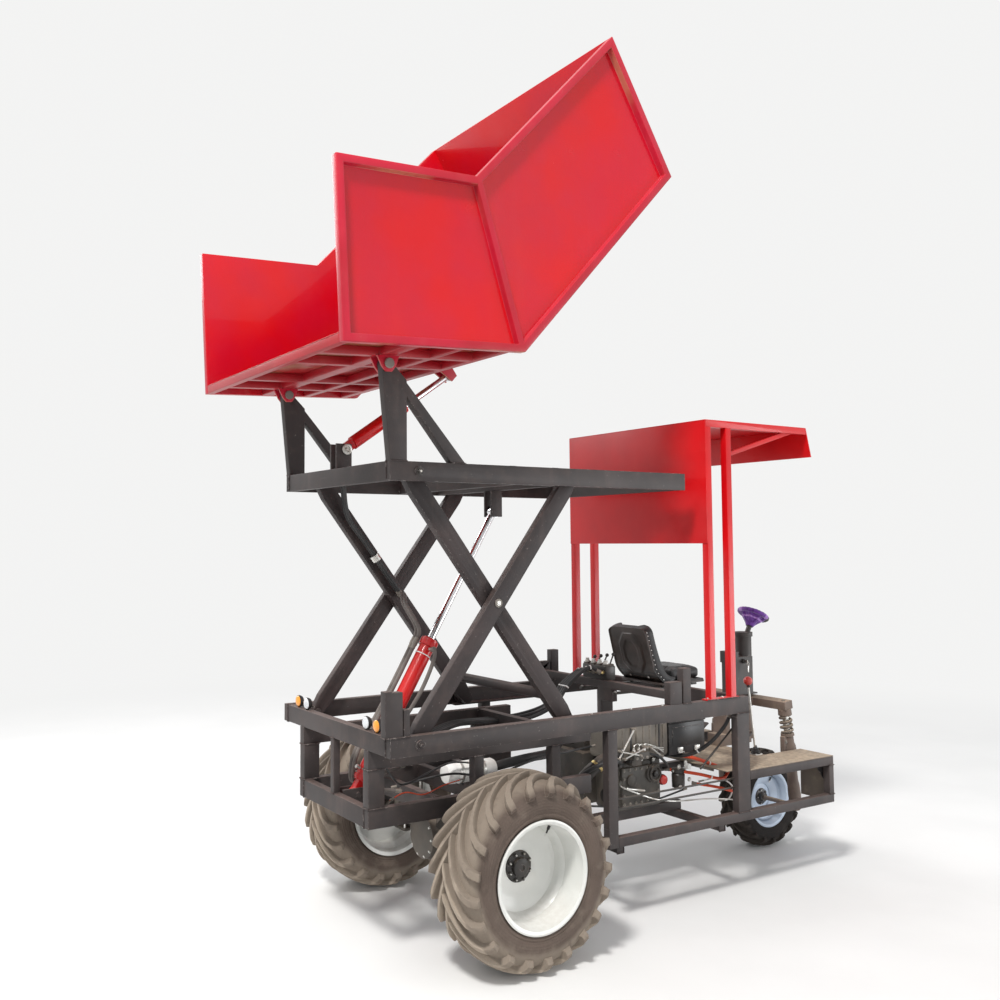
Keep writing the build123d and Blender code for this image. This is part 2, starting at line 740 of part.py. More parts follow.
def arm_plane(y, angle, x, z):
    """The plane of an arm: local X runs along it from its rear pivot, and it is extruded towards -Y."""
    return Plane(origin=(x, y, z), x_dir=(cos(radians(angle)), 0, sin(radians(angle))), z_dir=(0, -1, 0))


def arm_pair(angle, z, outer_y, bore_places):
    """Both arms of a pair, with the bores that their pins run in."""
    with BuildPart() as arms:
        for high_y in (outer_y, arm_thickness - outer_y):
            with BuildSketch(arm_plane(high_y, angle, arm_x, z)):
                with Locations((0, 0), (arm_length, 0)):
                    Circle(arm_end_radius)
                with Locations((90, 0), (arm_length - 90, 0)):
                    Circle(arm_depth / 2)
                make_hull()
                with Locations(*[(place, 0) for place in bore_places]):
                    Circle(pin_radius + pin_clearance, mode=Mode.SUBTRACT)
            extrude(amount=arm_thickness)
    return arms


outer_arms = arm_pair(scissor_angle, pivot_z, outer_arm_y, (0,))
outer_arms.part.label = "outer_arms"
export_step(outer_arms.part, "parts/outer_arms.step")
inner_arms = arm_pair(-scissor_angle, platform_pivot_z, inner_arm_y, (0, arm_length / 2))
inner_arms.part.label = "inner_arms"
export_step(inner_arms.part, "parts/inner_arms.step")

centre_x = arm_x + raised_reach / 2
centre_z = (pivot_z + platform_pivot_z) / 2
front_end_x = arm_x + raised_reach
inner_arm_inside = inner_arm_y - arm_thickness


# Centre pins, upper rollers and the tube across them, which turn with the outer arms
outer_inside = outer_arm_y - arm_thickness
roller_turn = roller_radius - roll_clearance
with BuildPart() as outer_arm_shafts:
    mirrored_pin(centre_x, centre_z, pin_radius, inner_arm_inside - 3, outer_inside)
    mirrored_pin(centre_x, centre_z, pin_head_radius, outer_arm_y, outer_arm_y + 3)
    mirrored_pin(front_end_x, platform_pivot_z, pin_radius, inner_arm_y, outer_inside)
    mirrored_pin(front_end_x, platform_pivot_z, roller_turn, inner_arm_inside, inner_arm_y)
    cross_pin(front_end_x, platform_pivot_z, cross_tube_radius, -inner_arm_inside, inner_arm_inside)
outer_arm_shafts.part.label = "outer_arm_shafts"
export_step(outer_arm_shafts.part, "parts/outer_arm_shafts.step")

# Lower rollers and the cross tube behind them, which turn with the inner arms
tube_x = front_end_x - cross_tube_from_end * cos(radians(scissor_angle))
tube_z = pivot_z + cross_tube_from_end * sin(radians(scissor_angle))
with BuildPart() as inner_arm_shafts:
    mirrored_pin(front_end_x, pivot_z, pin_radius, inner_arm_y, outer_inside)
    mirrored_pin(front_end_x, pivot_z, roller_turn, outer_inside, outer_arm_y)
    cross_pin(tube_x, tube_z, cross_tube_radius, -inner_arm_inside, inner_arm_inside)
inner_arm_shafts.part.label = "inner_arm_shafts"
export_step(inner_arm_shafts.part, "parts/inner_arm_shafts.step")

# ---------------------------------------------------------------- platform

platform_z = (platform_bottom_z, platform_top_z)
platform_side = (platform_inner, platform_half_width)
# Side beams, the tracks over the outer arms' rollers, and the inner arms' rear pins
with BuildPart() as platform_side_beams:
    mirrored_block((axle_x + platform_rear, axle_x + platform_front), platform_side, platform_z)
    mirrored_block(
        track_x, (inner_arm_inside - 10, platform_inner), (platform_pivot_z + roller_radius, platform_top_z)
    )
    mirrored_pin(arm_x, platform_pivot_z, pin_radius, inner_arm_inside - 3, platform_inner)
    mirrored_pin(
        arm_x, platform_pivot_z, pin_head_radius,
        platform_half_width, platform_half_width + pin_head_thickness,
    )
platform_side_beams.part.label = "platform_side_beams"
export_step(platform_side_beams.part, "parts/platform_side_beams.step")

with BuildPart() as platform_cross_beams:
    for at in (
        platform_rear, lift_beam_at - middle_beam_from_lift_beam, lift_beam_at,
        platform_front - platform_tube_width,
    ):
        block((axle_x + at, axle_x + at + platform_tube_width), (-platform_inner, platform_inner), platform_z)
platform_cross_beams.part.label = "platform_cross_beams"
export_step(platform_cross_beams.part, "parts/platform_cross_beams.step")

# Hinge brackets: a post and a brace that meet round the skip's hinge pin
bracket_thickness = 50
boss_radius = 34
post_x = (axle_x + platform_rear, axle_x + platform_rear + 100)
brace_foot = (axle_x - 350, axle_x - 260)
with BuildPart() as hinge_brackets:
    for _, side in sides:
        with BuildSketch(Plane(
            origin=(0, side * hinge_y + bracket_thickness / 2, 0), x_dir=(1, 0, 0), z_dir=(0, -1, 0)
        )):
            with BuildLine():
                Polyline(
                    (post_x[0], platform_top_z), (post_x[1], platform_top_z),
                    (post_x[1], hinge_z - 74), (hinge_x + 24, hinge_z + 15), (hinge_x - 32, hinge_z),
                    close=True,
                )
            make_face()
            with BuildLine():
                Polyline(
                    (brace_foot[0], platform_top_z), (brace_foot[1], platform_top_z),
                    (hinge_x + 24, hinge_z + 15), (post_x[1] - 60, hinge_z - 90),
                    close=True,
                )
            make_face()
            with Locations((hinge_x, hinge_z)):
                Circle(boss_radius)
                Circle(pin_radius + pin_clearance, mode=Mode.SUBTRACT)
        extrude(amount=bracket_thickness)
hinge_brackets.part.label = "hinge_brackets"
export_step(hinge_brackets.part, "parts/hinge_brackets.step")

# ---------------------------------------------------------------- skip

def skip_plane(y):
    """The skip's own side plane at a place across the machine, turned by the tip angle."""
    return Plane(origin=(hinge_x, y, hinge_z), x_dir=(tip_cos, 0, tip_sin), z_dir=(0, -1, 0))


floor_height = skip_member + sheet


def kink_point(height):
    """The place where floor and ramp meet, at a height above their lower faces."""
    return ramp_foot[0] + height * tan(radians(skip_ramp_angle / 2)), ramp_foot[1] + height


def ramp_point(along, height):
    """A place along the ramp from its foot, at a height above its lower face."""
    return (
        ramp_foot[0] - along * ramp_cos + height * ramp_sin,
        ramp_foot[1] + along * ramp_sin + height * ramp_cos,
    )


def floor_point(along, height):
    """A place along the floor from the ramp's foot, at a height above its lower face."""
    return ramp_foot[0] + along, ramp_foot[1] + height


def wall_point(height, out=0):
    """A place up the front wall, and how far out in front of it."""
    return floor_front[0] + height * tan(radians(skip_front_lean)) + out, floor_front[1] + height


def ramp_slab(low, high, bottom, top):
    """Corners of a slab on the ramp, between two places along it and two heights."""
    return ramp_point(low, bottom), ramp_point(low, top), ramp_point(high, top), ramp_point(high, bottom)


def floor_slab(low, high, bottom, top):
    """Corners of a slab on the floor, between two places along it and two heights."""
    return floor_point(low, bottom), floor_point(low, top), floor_point(high, top), floor_point(high, bottom)


skip_outline = (ramp_foot, floor_front, wall_top, kink_top, rear_top, ramp_rear)
kink_strip = (
    (ramp_foot[0] - skip_border / 2, ramp_foot[1] + skip_border / 2),
    (ramp_foot[0] + skip_border / 2, ramp_foot[1] + skip_border / 2),
    (kink_top[0] + skip_border / 2, kink_top[1] - skip_border / 2),
    (kink_top[0] - skip_border / 2, kink_top[1] - skip_border / 2),
)
side_sheet = skip_half_width - skip_border
for side_name, side in sides:
    sheet_start = side_sheet if side > 0 else -(side_sheet - sheet)
    border_start = skip_half_width if side > 0 else -side_sheet
    with BuildPart() as skip_side:
        with BuildSketch(skip_plane(sheet_start)):
            Polygon(*skip_outline, align=None)
        extrude(amount=sheet)
        with BuildSketch(skip_plane(border_start)):
            Polygon(*skip_outline, align=None)
            offset(amount=-skip_border, kind=Kind.INTERSECTION, mode=Mode.SUBTRACT)
            Polygon(*kink_strip, align=None)
        extrude(amount=skip_border)
    skip_side.part.label = f"skip_side_{side_name}"
    export_step(skip_side.part, f"parts/skip_side_{side_name}.step")

# The skip's sheets inside its sides: name and corners in the side plane
sheet_half = side_sheet - sheet
sheet_rows = (
    ("skip_floor", (
        kink_point(skip_member), kink_point(floor_height), wall_point(floor_height), wall_point(skip_member),
    )),
    ("skip_ramp", (
        kink_point(skip_member), kink_point(floor_height),
        ramp_point(skip_ramp_length, floor_height), ramp_point(skip_ramp_length, skip_member),
    )),
    ("skip_front_wall", (
        wall_point(floor_height, -sheet), wall_point(floor_height),
        wall_point(skip_wall_height), wall_point(skip_wall_height, -sheet),
    )),
)
for sheet_name, corners in sheet_rows:
    with BuildPart() as skip_sheet:
        with BuildSketch(skip_plane(sheet_half)):
            Polygon(*corners, align=None)
        extrude(amount=2 * sheet_half)
    skip_sheet.part.label = sheet_name
    export_step(skip_sheet.part, f"parts/{sheet_name}.step")

# Members under the ramp and the floor: cross members by their low and high ends, and long members by Y
hinge_along = skip_kink_u * ramp_cos + skip_floor_drop * ramp_sin
long_member_width = 50
long_member_y = (-hinge_y, -hinge_y / 2, hinge_y / 2, hinge_y)
frame_rows = (
    ("skip_ramp_frame", ramp_slab, (
        (80, 125), (350, 395), (hinge_along - 40, hinge_along + 40),
        (skip_ramp_length - 45, skip_ramp_length),
    )),
    ("skip_floor_frame", floor_slab, (
        (40, 100), (400, 445), (770, 815), (1140, 1185), (skip_floor_length - 50, skip_floor_length),
    )),
)
for frame_name, corners_of, cross_rows in frame_rows:
    with BuildPart() as skip_frame:
        for low, high in cross_rows:
            with BuildSketch(skip_plane(sheet_half)):
                Polygon(*corners_of(low, high, 0, skip_member), align=None)
            extrude(amount=2 * sheet_half)
        for y in long_member_y:
            with BuildSketch(skip_plane(y + long_member_width / 2)):
                Polygon(*corners_of(cross_rows[0][0], cross_rows[-1][1], 0, skip_member), align=None)
            extrude(amount=long_member_width)
    skip_frame.part.label = frame_name
    export_step(skip_frame.part, f"parts/{frame_name}.step")

# ---------------------------------------------------------------- cylinders

eye_half_width = 24
ear_thickness = 12
ear_inner = eye_half_width + side_clearance
ear_outer = ear_inner + ear_thickness
cylinder_pin_radius = 15
eye_radius = 34
neck_length = 72
cap_thickness = 14
barrel_wall = 6
gland_length = 45
piston_length = 38
piston_gap = 4


def ram(name, base, eye, barrel_length, barrel_radius, rod_radius):
    """Make the barrel and the rod of a hydraulic cylinder, drawn fully out between its two eyes."""
    length = hypot(eye[0] - base[0], eye[1] - base[1])
    along = ((eye[0] - base[0]) / length, 0, (eye[1] - base[1]) / length)
    axis_plane = Plane(origin=(base[0], 0, base[1]), x_dir=(0, 1, 0), z_dir=along)
    bore = barrel_radius - barrel_wall
    gland = barrel_length - gland_length
    with BuildPart() as barrel:
        with BuildSketch(axis_plane):
            Rectangle(2 * eye_half_width, 1.6 * eye_radius)
        extrude(amount=neck_length + cap_thickness / 2)
        with BuildSketch(axis_plane.offset(neck_length)):
            Circle(barrel_radius)
        extrude(amount=barrel_length - neck_length)
        with BuildSketch(axis_plane.offset(neck_length + cap_thickness)):
            Circle(bore)
        extrude(amount=gland - neck_length - cap_thickness, mode=Mode.SUBTRACT)
        with BuildSketch(axis_plane.offset(gland)):
            Circle(rod_radius + pin_clearance)
        extrude(amount=gland_length, mode=Mode.SUBTRACT)
        cross_pin(base[0], base[1], eye_radius, -eye_half_width, eye_half_width)
        with Locations(Location((base[0], 0, base[1]), (90, 0, 0))):
            Cylinder(cylinder_pin_radius + pin_clearance, 3 * eye_half_width, mode=Mode.SUBTRACT)
    barrel.part.label = f"{name}_barrel"
    export_step(barrel.part, f"parts/{name}_barrel.step")
    piston = gland - piston_length - piston_gap
    with BuildPart() as rod:
        with BuildSketch(axis_plane.offset(piston)):
            Circle(rod_radius)
        extrude(amount=length - piston - eye_radius + 6)
        with BuildSketch(axis_plane.offset(piston)):
            Circle(bore - pin_clearance)
        extrude(amount=piston_length)
        cross_pin(eye[0], eye[1], eye_radius, -eye_half_width, eye_half_width)
    rod.part.label = f"{name}_rod"
    export_step(rod.part, f"parts/{name}_rod.step")


lift_base = (axle_x - 582, 792)
lift_eye = (axle_x + lift_beam_at + platform_tube_width / 2, platform_bottom_z - 128)
tip_base = (axle_x - 659, platform_top_z + 108)
tip_eye_local = (614, -501)
tip_eye = (
    hinge_x + tip_eye_local[0] * tip_cos - tip_eye_local[1] * tip_sin,
    hinge_z + tip_eye_local[0] * tip_sin + tip_eye_local[1] * tip_cos,
)
# Each cylinder's eyes, then the barrel's length and radius and the rod's radius
ram("lift_cylinder", lift_base, lift_eye, 964, 45, 22)
ram("tip_cylinder", tip_base, tip_eye, 484, 38, 20)

with BuildPart() as lift_base_bracket:
    for low, high in ((-ear_outer, -ear_inner), (ear_inner, ear_outer)):
        block(
            (axle_x + frame_rear + tube_width, lift_base[0] + 30), (low, high),
            (lower_z[0] + 10, lift_base[1] + 35),
        )
    cross_pin(lift_base[0], lift_base[1], cylinder_pin_radius, -ear_outer - 8, ear_outer + 8)
lift_base_bracket.part.label = "lift_base_bracket"
export_step(lift_base_bracket.part, "parts/lift_base_bracket.step")

with BuildPart() as platform_cylinder_brackets:
    for low, high in ((-ear_outer, -ear_inner), (ear_inner, ear_outer)):
        block((lift_eye[0] - 40, lift_eye[0] + 40), (low, high), (lift_eye[1] - 30, platform_bottom_z))
        block((axle_x + platform_rear, tip_base[0] + 35), (low, high), (platform_top_z, tip_base[1] + 32))
    cross_pin(tip_base[0], tip_base[1], cylinder_pin_radius, -ear_outer - 8, ear_outer + 8)
platform_cylinder_brackets.part.label = "platform_cylinder_brackets"
export_step(platform_cylinder_brackets.part, "parts/platform_cylinder_brackets.step")

# Ears either side of each hinge bracket, joined by the hinge pin, and the tip cylinder's ears
hinge_ear_gap = bracket_thickness / 2 + side_clearance
hinge_ear = [
    ramp_point(hinge_along + along, height)
    for along, height in ((-65, 0), (65, 0), (40, -55), (18, -82), (-18, -82), (-40, -55))
]
eye_u, eye_w = tip_eye_local
cylinder_ear = (
    (eye_u - 45, -skip_floor_drop), (eye_u + 45, -skip_floor_drop),
    (eye_u + 25, eye_w - 30), (eye_u - 25, eye_w - 30),
)
with BuildPart() as skip_lugs:
    for _, side in sides:
        for high_y in (-hinge_ear_gap, hinge_ear_gap + ear_thickness):
            with BuildSketch(skip_plane(side * hinge_y + high_y)):
                Polygon(*hinge_ear, align=None)
            extrude(amount=ear_thickness)
        cross_pin(
            hinge_x, hinge_z, pin_radius,
            side * hinge_y - hinge_ear_gap - ear_thickness - 8,
            side * hinge_y + hinge_ear_gap + ear_thickness + 8,
        )
    for high_y in (-ear_inner, ear_outer):
        with BuildSketch(skip_plane(high_y)):
            Polygon(*cylinder_ear, align=None)
        extrude(amount=ear_thickness)
skip_lugs.part.label = "skip_lugs"
export_step(skip_lugs.part, "parts/skip_lugs.step")
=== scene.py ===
import json
from math import cos, hypot, pi, radians, sin

import bmesh
import bpy
from mathutils import Matrix, Vector, noise


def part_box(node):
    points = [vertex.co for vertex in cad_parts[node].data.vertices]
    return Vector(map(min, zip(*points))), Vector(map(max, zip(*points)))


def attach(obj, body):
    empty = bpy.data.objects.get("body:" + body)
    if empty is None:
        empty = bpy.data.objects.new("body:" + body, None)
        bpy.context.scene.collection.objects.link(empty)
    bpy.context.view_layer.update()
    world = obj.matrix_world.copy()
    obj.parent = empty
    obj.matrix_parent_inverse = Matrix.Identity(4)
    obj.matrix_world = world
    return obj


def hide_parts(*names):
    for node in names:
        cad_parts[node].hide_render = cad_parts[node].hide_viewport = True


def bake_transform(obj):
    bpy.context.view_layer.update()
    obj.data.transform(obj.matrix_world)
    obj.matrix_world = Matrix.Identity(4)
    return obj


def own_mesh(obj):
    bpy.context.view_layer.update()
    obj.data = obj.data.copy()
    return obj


# A three-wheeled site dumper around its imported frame: metres, +X forward, +Y the driver's left, +Z up.

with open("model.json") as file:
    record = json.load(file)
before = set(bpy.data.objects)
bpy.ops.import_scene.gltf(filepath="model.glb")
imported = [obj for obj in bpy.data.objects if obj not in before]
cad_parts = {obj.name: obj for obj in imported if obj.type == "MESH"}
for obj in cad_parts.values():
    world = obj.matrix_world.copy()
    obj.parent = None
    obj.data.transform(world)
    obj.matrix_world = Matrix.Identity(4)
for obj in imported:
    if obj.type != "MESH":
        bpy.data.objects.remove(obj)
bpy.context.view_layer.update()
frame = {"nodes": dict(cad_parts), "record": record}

# ---------------------------------------------------------------- stations

BEHAVIOUR = frame["record"]["behaviour"]
BODY_OF = {node: body for body, nodes in BEHAVIOUR["bodies"].items() for node in nodes}
JOINT_AT = {joint["name"]: Vector(joint["pos_m"]) for joint in BEHAVIOUR["joints"] if "pos_m" in joint}
JOINT_AXIS = {joint["name"]: Vector(joint["axis"]) for joint in BEHAVIOUR["joints"]}
AHEAD, BACK, LEFT, RIGHT, UP = (1, 0, 0), (-1, 0, 0), (0, 1, 0), (0, -1, 0), (0, 0, 1)


def vec(x, y, z):
    """A place or an offset."""
    return Vector((x, y, z))


def box(node):
    """The lowest and highest corners of a frame node, as vectors."""
    low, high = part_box(node)
    return Vector(low), Vector(high)


def middle(node):
    """The centre of a frame node's box."""
    low, high = box(node)
    return (low + high) / 2


def half_size(node):
    """Half the size of a frame node's box."""
    low, high = box(node)
    return (high - low) / 2


def corners(node):
    """A function for places by a node's box, from its low (l) or high (h) side along each axis."""
    ends = dict(zip("lh", box(node)))

    def place(sides, *by):
        return Vector(ends[side][axis] + by[axis] for axis, side in enumerate(sides))

    return place


def path(start, *steps):
    """Places at offsets from a start."""
    return [start + Vector(step) for step in steps]


def mirrored(sign, low, high):
    """The corners of a block on the left, or of its mirror image where sign is -1."""
    near, far = sorted((sign * low[1], sign * high[1]))
    return (low[0], near, low[2]), (high[0], far, high[2])


def turns(count, start=0.0):
    """The angles of so many even steps round a circle."""
    return [2 * pi * (k + start) / count for k in range(count)]


AXLE_X = middle("rear_tyre_right").x
AXLE_Z = middle("rear_axle").z
FRONT_HUB = middle("front_tyre")
ARM_FOOT = JOINT_AT["lift"]
CENTRE_PIN = JOINT_AT["scissor_cross"]
PLATFORM_PIN = JOINT_AT["platform_level"]
TIP_HINGE = JOINT_AT["tip"]
LIFT_BASE = JOINT_AT["lift_barrel_swing"]
TIP_BASE = JOINT_AT["tip_barrel_swing"]
WHEEL_HUB = JOINT_AT["steering_wheel_turn"]


def at(x):
    """A place along the machine, from its distance ahead of the rear axle."""
    return AXLE_X + x


# ---------------------------------------------------------------- materials

def add_node(tree, kind, inputs=None, **settings):
    """Add a node to a tree, with its settings and its inputs as values or links."""
    made = tree.nodes.new(kind)
    for key, value in settings.items():
        setattr(made, key, value)
    for key, value in (inputs or {}).items():
        if isinstance(value, bpy.types.NodeSocket):
            tree.links.new(value, made.inputs[key])
        else:
            made.inputs[key].default_value = value
    return made


class Surface:
    """A node material being made: its Principled shader, its colour so far and the object's coordinates."""

    def __init__(self, name, roughness=0.5, metallic=0.0, **fixed):
        self.made = bpy.data.materials.new(name)
        self.made.use_nodes = True
        self.tree = self.made.node_tree
        self.shader = self.tree.nodes["Principled BSDF"]
        self.shader.inputs["Roughness"].default_value = roughness
        self.shader.inputs["Metallic"].default_value = metallic
        for socket, value in fixed.items():
            self.shader.inputs[socket.replace("_", " ")].default_value = value
        coordinates = self.node("ShaderNodeTexCoord")
        self.place = coordinates.outputs["Object"]
        self.facing = coordinates.outputs["Normal"]
        self.colour = self.normal = None

    def node(self, kind, inputs=None, **settings):
        """Add a node to the material."""
        return add_node(self.tree, kind, inputs, **settings)

    def noise(self, scale, detail, stretch=(1, 1, 1), turn=(0, 0, 0)):
        """Noise of a scale, longer where stretch is small."""
        place = self.node("ShaderNodeMapping", {"Vector": self.place, "Scale": stretch, "Rotation": turn})
        made = self.node("ShaderNodeTexNoise", {"Vector": place.outputs[0], "Scale": scale, "Detail": detail})
        return made.outputs["Fac"]

    def step(self, value, low, high):
        """A smooth rise from 0 at low to 1 at high."""
        inputs = {"Value": value, "From Min": low, "From Max": high}
        return self.node("ShaderNodeMapRange", inputs, interpolation_type="SMOOTHSTEP").outputs["Result"]

    def patches(self, scale, detail, low, high, *stretch):
        """Patches of noise, from 0 where it is low to 1 where it is high."""
        return self.step(self.noise(scale, detail, *stretch), low, high)

    def math(self, operation, first, second):
        """Two values brought together by a Math node."""
        return self.node("ShaderNodeMath", {0: first, 1: second}, operation=operation).outputs[0]

    def times(self, first, second):
        """The product of two values."""
        return self.math("MULTIPLY", first, second)

    def plus(self, first, second):
        """The sum of two values."""
        return self.math("ADD", first, second)

    def vector(self, operation, first, second=(0, 0, 0)):
        """Two vectors brought together by a Vector Math node."""
        return self.node("ShaderNodeVectorMath", {0: first, 1: second}, operation=operation).outputs

    def mix(self, factor, first, second):
        """Two colours mixed by a factor."""
        made = self.node("ShaderNodeMix", {"Factor": factor}, data_type="RGBA")
        for socket, value in zip((made.inputs[6], made.inputs[7]), (first, second)):
            if isinstance(value, bpy.types.NodeSocket):
                self.tree.links.new(value, socket)
            else:
                socket.default_value = (*value, 1)
        return made.outputs[2]

    def cover(self, tone, factor, share=None):
        """Lay a tone over the colour so far, by a factor and perhaps a share of it."""
        self.colour = self.mix(self.times(factor, share) if share else factor, self.colour, tone)

    def upward(self, low=0.35, high=0.9):
        """How far a face looks up, or down where low is above high."""
        parts = self.node("ShaderNodeSeparateXYZ", {0: self.facing})
        return self.step(parts.outputs["Z"], low, high)

    def from_axis(self, centre):
        """The distance from an axle's line along Y."""
        flat = self.vector("MULTIPLY", self.vector("SUBTRACT", self.place, centre)[0], (1, 0, 1))
        return self.vector("LENGTH", flat[0])["Value"]

    def edges(self, width, low=0.02, high=0.2):
        """Where a sharp edge is nearer than a width."""
        rounded = self.node("ShaderNodeBevel", {"Radius": width}, samples=4)
        true = self.node("ShaderNodeNewGeometry")
        alike = self.vector("DOT_PRODUCT", rounded.outputs[0], true.outputs["Normal"])["Value"]
        return self.step(self.math("SUBTRACT", 1.0, alike), low, high)

    def bump(self, value, distance):
        """Raise the surface by a value times a distance."""
        inputs = {"Height": value, "Distance": distance}
        if self.normal:
            inputs["Normal"] = self.normal
        self.normal = self.node("ShaderNodeBump", inputs).outputs[0]

    def done(self, roughness=None):
        """Link colour, roughness and normal, and hand back the material."""
        for socket, value in (("Base Color", self.colour), ("Roughness", roughness), ("Normal", self.normal)):
            if value:
                self.tree.links.new(value, self.shader.inputs[socket])
        return self.made


def scaled(tone, by):
    """A tone made darker or paler."""
    return tuple(v * by for v in tone)


def painted(name, base, shade, dust, chip_and_edge_highlight, dust_share, roughness, wave=0.0, wear_and_edge_highlight=1.0, under=None, **fixed):
    """Paint of two near tones, dusty where it looks up, chipped at its edges, over slightly wavy metal; on
    red_tube the edge tone is partly a painted highlight.
    """
    s = Surface(name, roughness, **fixed)
    # Two near tones in patches; on red_sheet its two reds, in big blobs, are painted reflections
    s.colour = s.mix(s.patches(2.3, 5, 0.35, 0.68), base, shade)
    s.cover(dust, s.patches(7, 4, 0.56, 0.78, (1, 1, 0.12)), 0.35 * dust_share)
    # A tan in patches on faces that look down: partly bare, dusty sheet and partly a painted reflection of
    # the lit ground
    if under:
        s.cover(under, s.upward(-0.2, -0.7), s.patches(3, 3, 0.42, 0.62))
    lying = s.times(s.upward(), s.plus(0.45, s.times(s.patches(38, 6, 0.3, 0.72), 0.55)))
    haze = s.times(s.patches(11, 6, 0.45, 0.85), 0.3)
    dusty = s.times(s.math("MAXIMUM", lying, haze), dust_share)
    s.cover(dust, dusty)
    # Chipped edges in the edge tone; on red_tube this pale salmon is partly a painted highlight
    s.cover(chip_and_edge_highlight, s.times(s.edges(0.005), s.patches(55, 5, 0.5, 0.66)), wear_and_edge_highlight)
    s.cover(chip_and_edge_highlight, s.patches(60, 2, 0.7, 0.76, (1, 0.03, 1), (0.3, 0.2, 0.9)), 0.25 * wear_and_edge_highlight)
    s.bump(s.noise(160, 2), 0.0006)
    if wave:
        s.bump(s.noise(2.1, 1.5), wave)
    rough = s.plus(roughness, s.times(dusty, 0.8 - roughness))
    return s.done(s.plus(rough, s.times(s.noise(6, 4), 0.1)))


def metal(name, tone, stain, roughness, stain_share):
    """Bare or plated metal with stains and fine grain."""
    s = Surface(name, roughness, 1.0)
    stains = s.times(s.patches(14, 6, 0.48, 0.74), stain_share)
    s.colour = s.mix(stains, tone, stain)
    s.bump(s.noise(220, 2, (1, 0.15, 1)), 0.0003)
    return s.done(s.plus(roughness, s.times(stains, 0.5)))


def plain(name, base, shade, roughness, grain=90, grain_depth=0.0008, **fixed):
    """Plastic, rubber or glass of two near tones with a grain."""
    s = Surface(name, roughness, **fixed)
    s.colour = s.mix(s.patches(9, 5, 0.35, 0.7), base, shade)
    s.bump(s.noise(grain, 3), grain_depth)
    return s.done(s.plus(roughness, s.times(s.noise(12, 4), 0.12)))


def tyre_rubber(name, centre, side_to, tread_from, tops, dust, side, share):
    """Rubber, brown on its side walls, dusty over its carcass and paler on the tops of its lugs."""
    s = Surface(name, 0.88, Specular_IOR_Level=0.2)
    far = s.from_axis(centre)
    far_drift = s.plus(far, s.times(s.math("SUBTRACT", s.noise(9, 5), 0.5), 0.035))
    s.colour = s.mix(s.patches(5, 5, 0.3, 0.75), side, scaled(side, 0.72))
    s.cover(dust, s.patches(13, 6, 0.5, 0.8), 0.35 * share)
    s.cover(dust, s.step(far_drift, side_to, tread_from), 0.85 * share)
    s.cover(scaled(dust, 1.55), s.step(far_drift, tops - 0.012, tops - 0.002), 0.75 * share)
    s.cover(scaled(dust, 1.5), s.edges(0.006, 0.03, 0.25), 0.35 * share)
    s.cover(scaled(side, 0.45), s.patches(21, 7, 0.56, 0.8), 0.35)
    s.cover(scaled(dust, 0.6), s.patches(130, 4, 0.3, 0.8), 0.18)
    s.bump(s.noise(95, 6), 0.0016)
    rings = s.node(
        "ShaderNodeTexWave",
        {"Vector": s.vector("SUBTRACT", s.place, centre)[0], "Scale": 22.0, "Distortion": 0.4},
        wave_type="RINGS", rings_direction="Y",
    )
    s.bump(s.times(rings.outputs["Fac"], s.step(far, tread_from, side_to)), 0.0008)
    return s.done()


def leather(name, base):
    """Black cover with a pebbled grain."""
    s = Surface(name, 0.42, Specular_IOR_Level=0.4)
    cells = s.node("ShaderNodeTexVoronoi", {"Vector": s.place, "Scale": 260.0})
    s.bump(cells.outputs["Distance"], 0.0009)
    s.bump(s.noise(26, 5), 0.0012)
    dusty = s.times(s.times(s.upward(), s.patches(22, 5, 0.4, 0.75)), 0.4)
    s.colour = s.mix(dusty, base, (0.16, 0.15, 0.15))
    return s.done()


def woven(name, base, shade):
    """Stretch cloth with a fine rib."""
    s = Surface(name, 0.8, Sheen_Weight=0.4)
    s.bump(s.noise(420, 2), 0.0008)
    s.colour = s.mix(s.patches(45, 4, 0.35, 0.65), base, shade)
    return s.done()


DUST, SAND, CLAY = (0.2, 0.138, 0.118), (0.46, 0.37, 0.27), (0.27, 0.21, 0.16)
BARE = (0.34, 0.3, 0.28)

# Each paint: two near tones, its dust, the metal under its chips (on red_tube partly a painted highlight
# along its edges), how dusty it is and how rough
frame_paint = painted(
    "frame_paint", (0.034, 0.028, 0.0275), (0.056, 0.045, 0.0435), DUST, BARE, 0.55, 0.46,
    Specular_IOR_Level=0.35,
)
arm_paint = painted(
    "arm_paint", (0.029, 0.023, 0.023), (0.05, 0.037, 0.036), DUST, BARE, 0.4, 0.46, Specular_IOR_Level=0.3,
)
red_paint = painted(
    "red_paint", (0.58, 0.003, 0.006), (0.49, 0.002, 0.005), (0.62, 0.13, 0.1), (0.7, 0.16, 0.13), 0.12, 0.3,
    wave=0.006, wear_and_edge_highlight=0.12, Coat_Weight=0.15, Coat_Roughness=0.12, Specular_IOR_Level=0.3,
)
# The skip's sheet: its two reds, laid in big soft blobs, are painted reflections of the surroundings on the
# gloss
red_sheet = painted(
    "red_sheet", (0.49, 0.003, 0.018), (0.55, 0.001, 0.005), (0.58, 0.12, 0.12), (0.68, 0.16, 0.15),
    0.05, 0.2, wave=0.018, wear_and_edge_highlight=0.1, Coat_Weight=0.35, Coat_Roughness=0.06, Specular_IOR_Level=0.3,
)
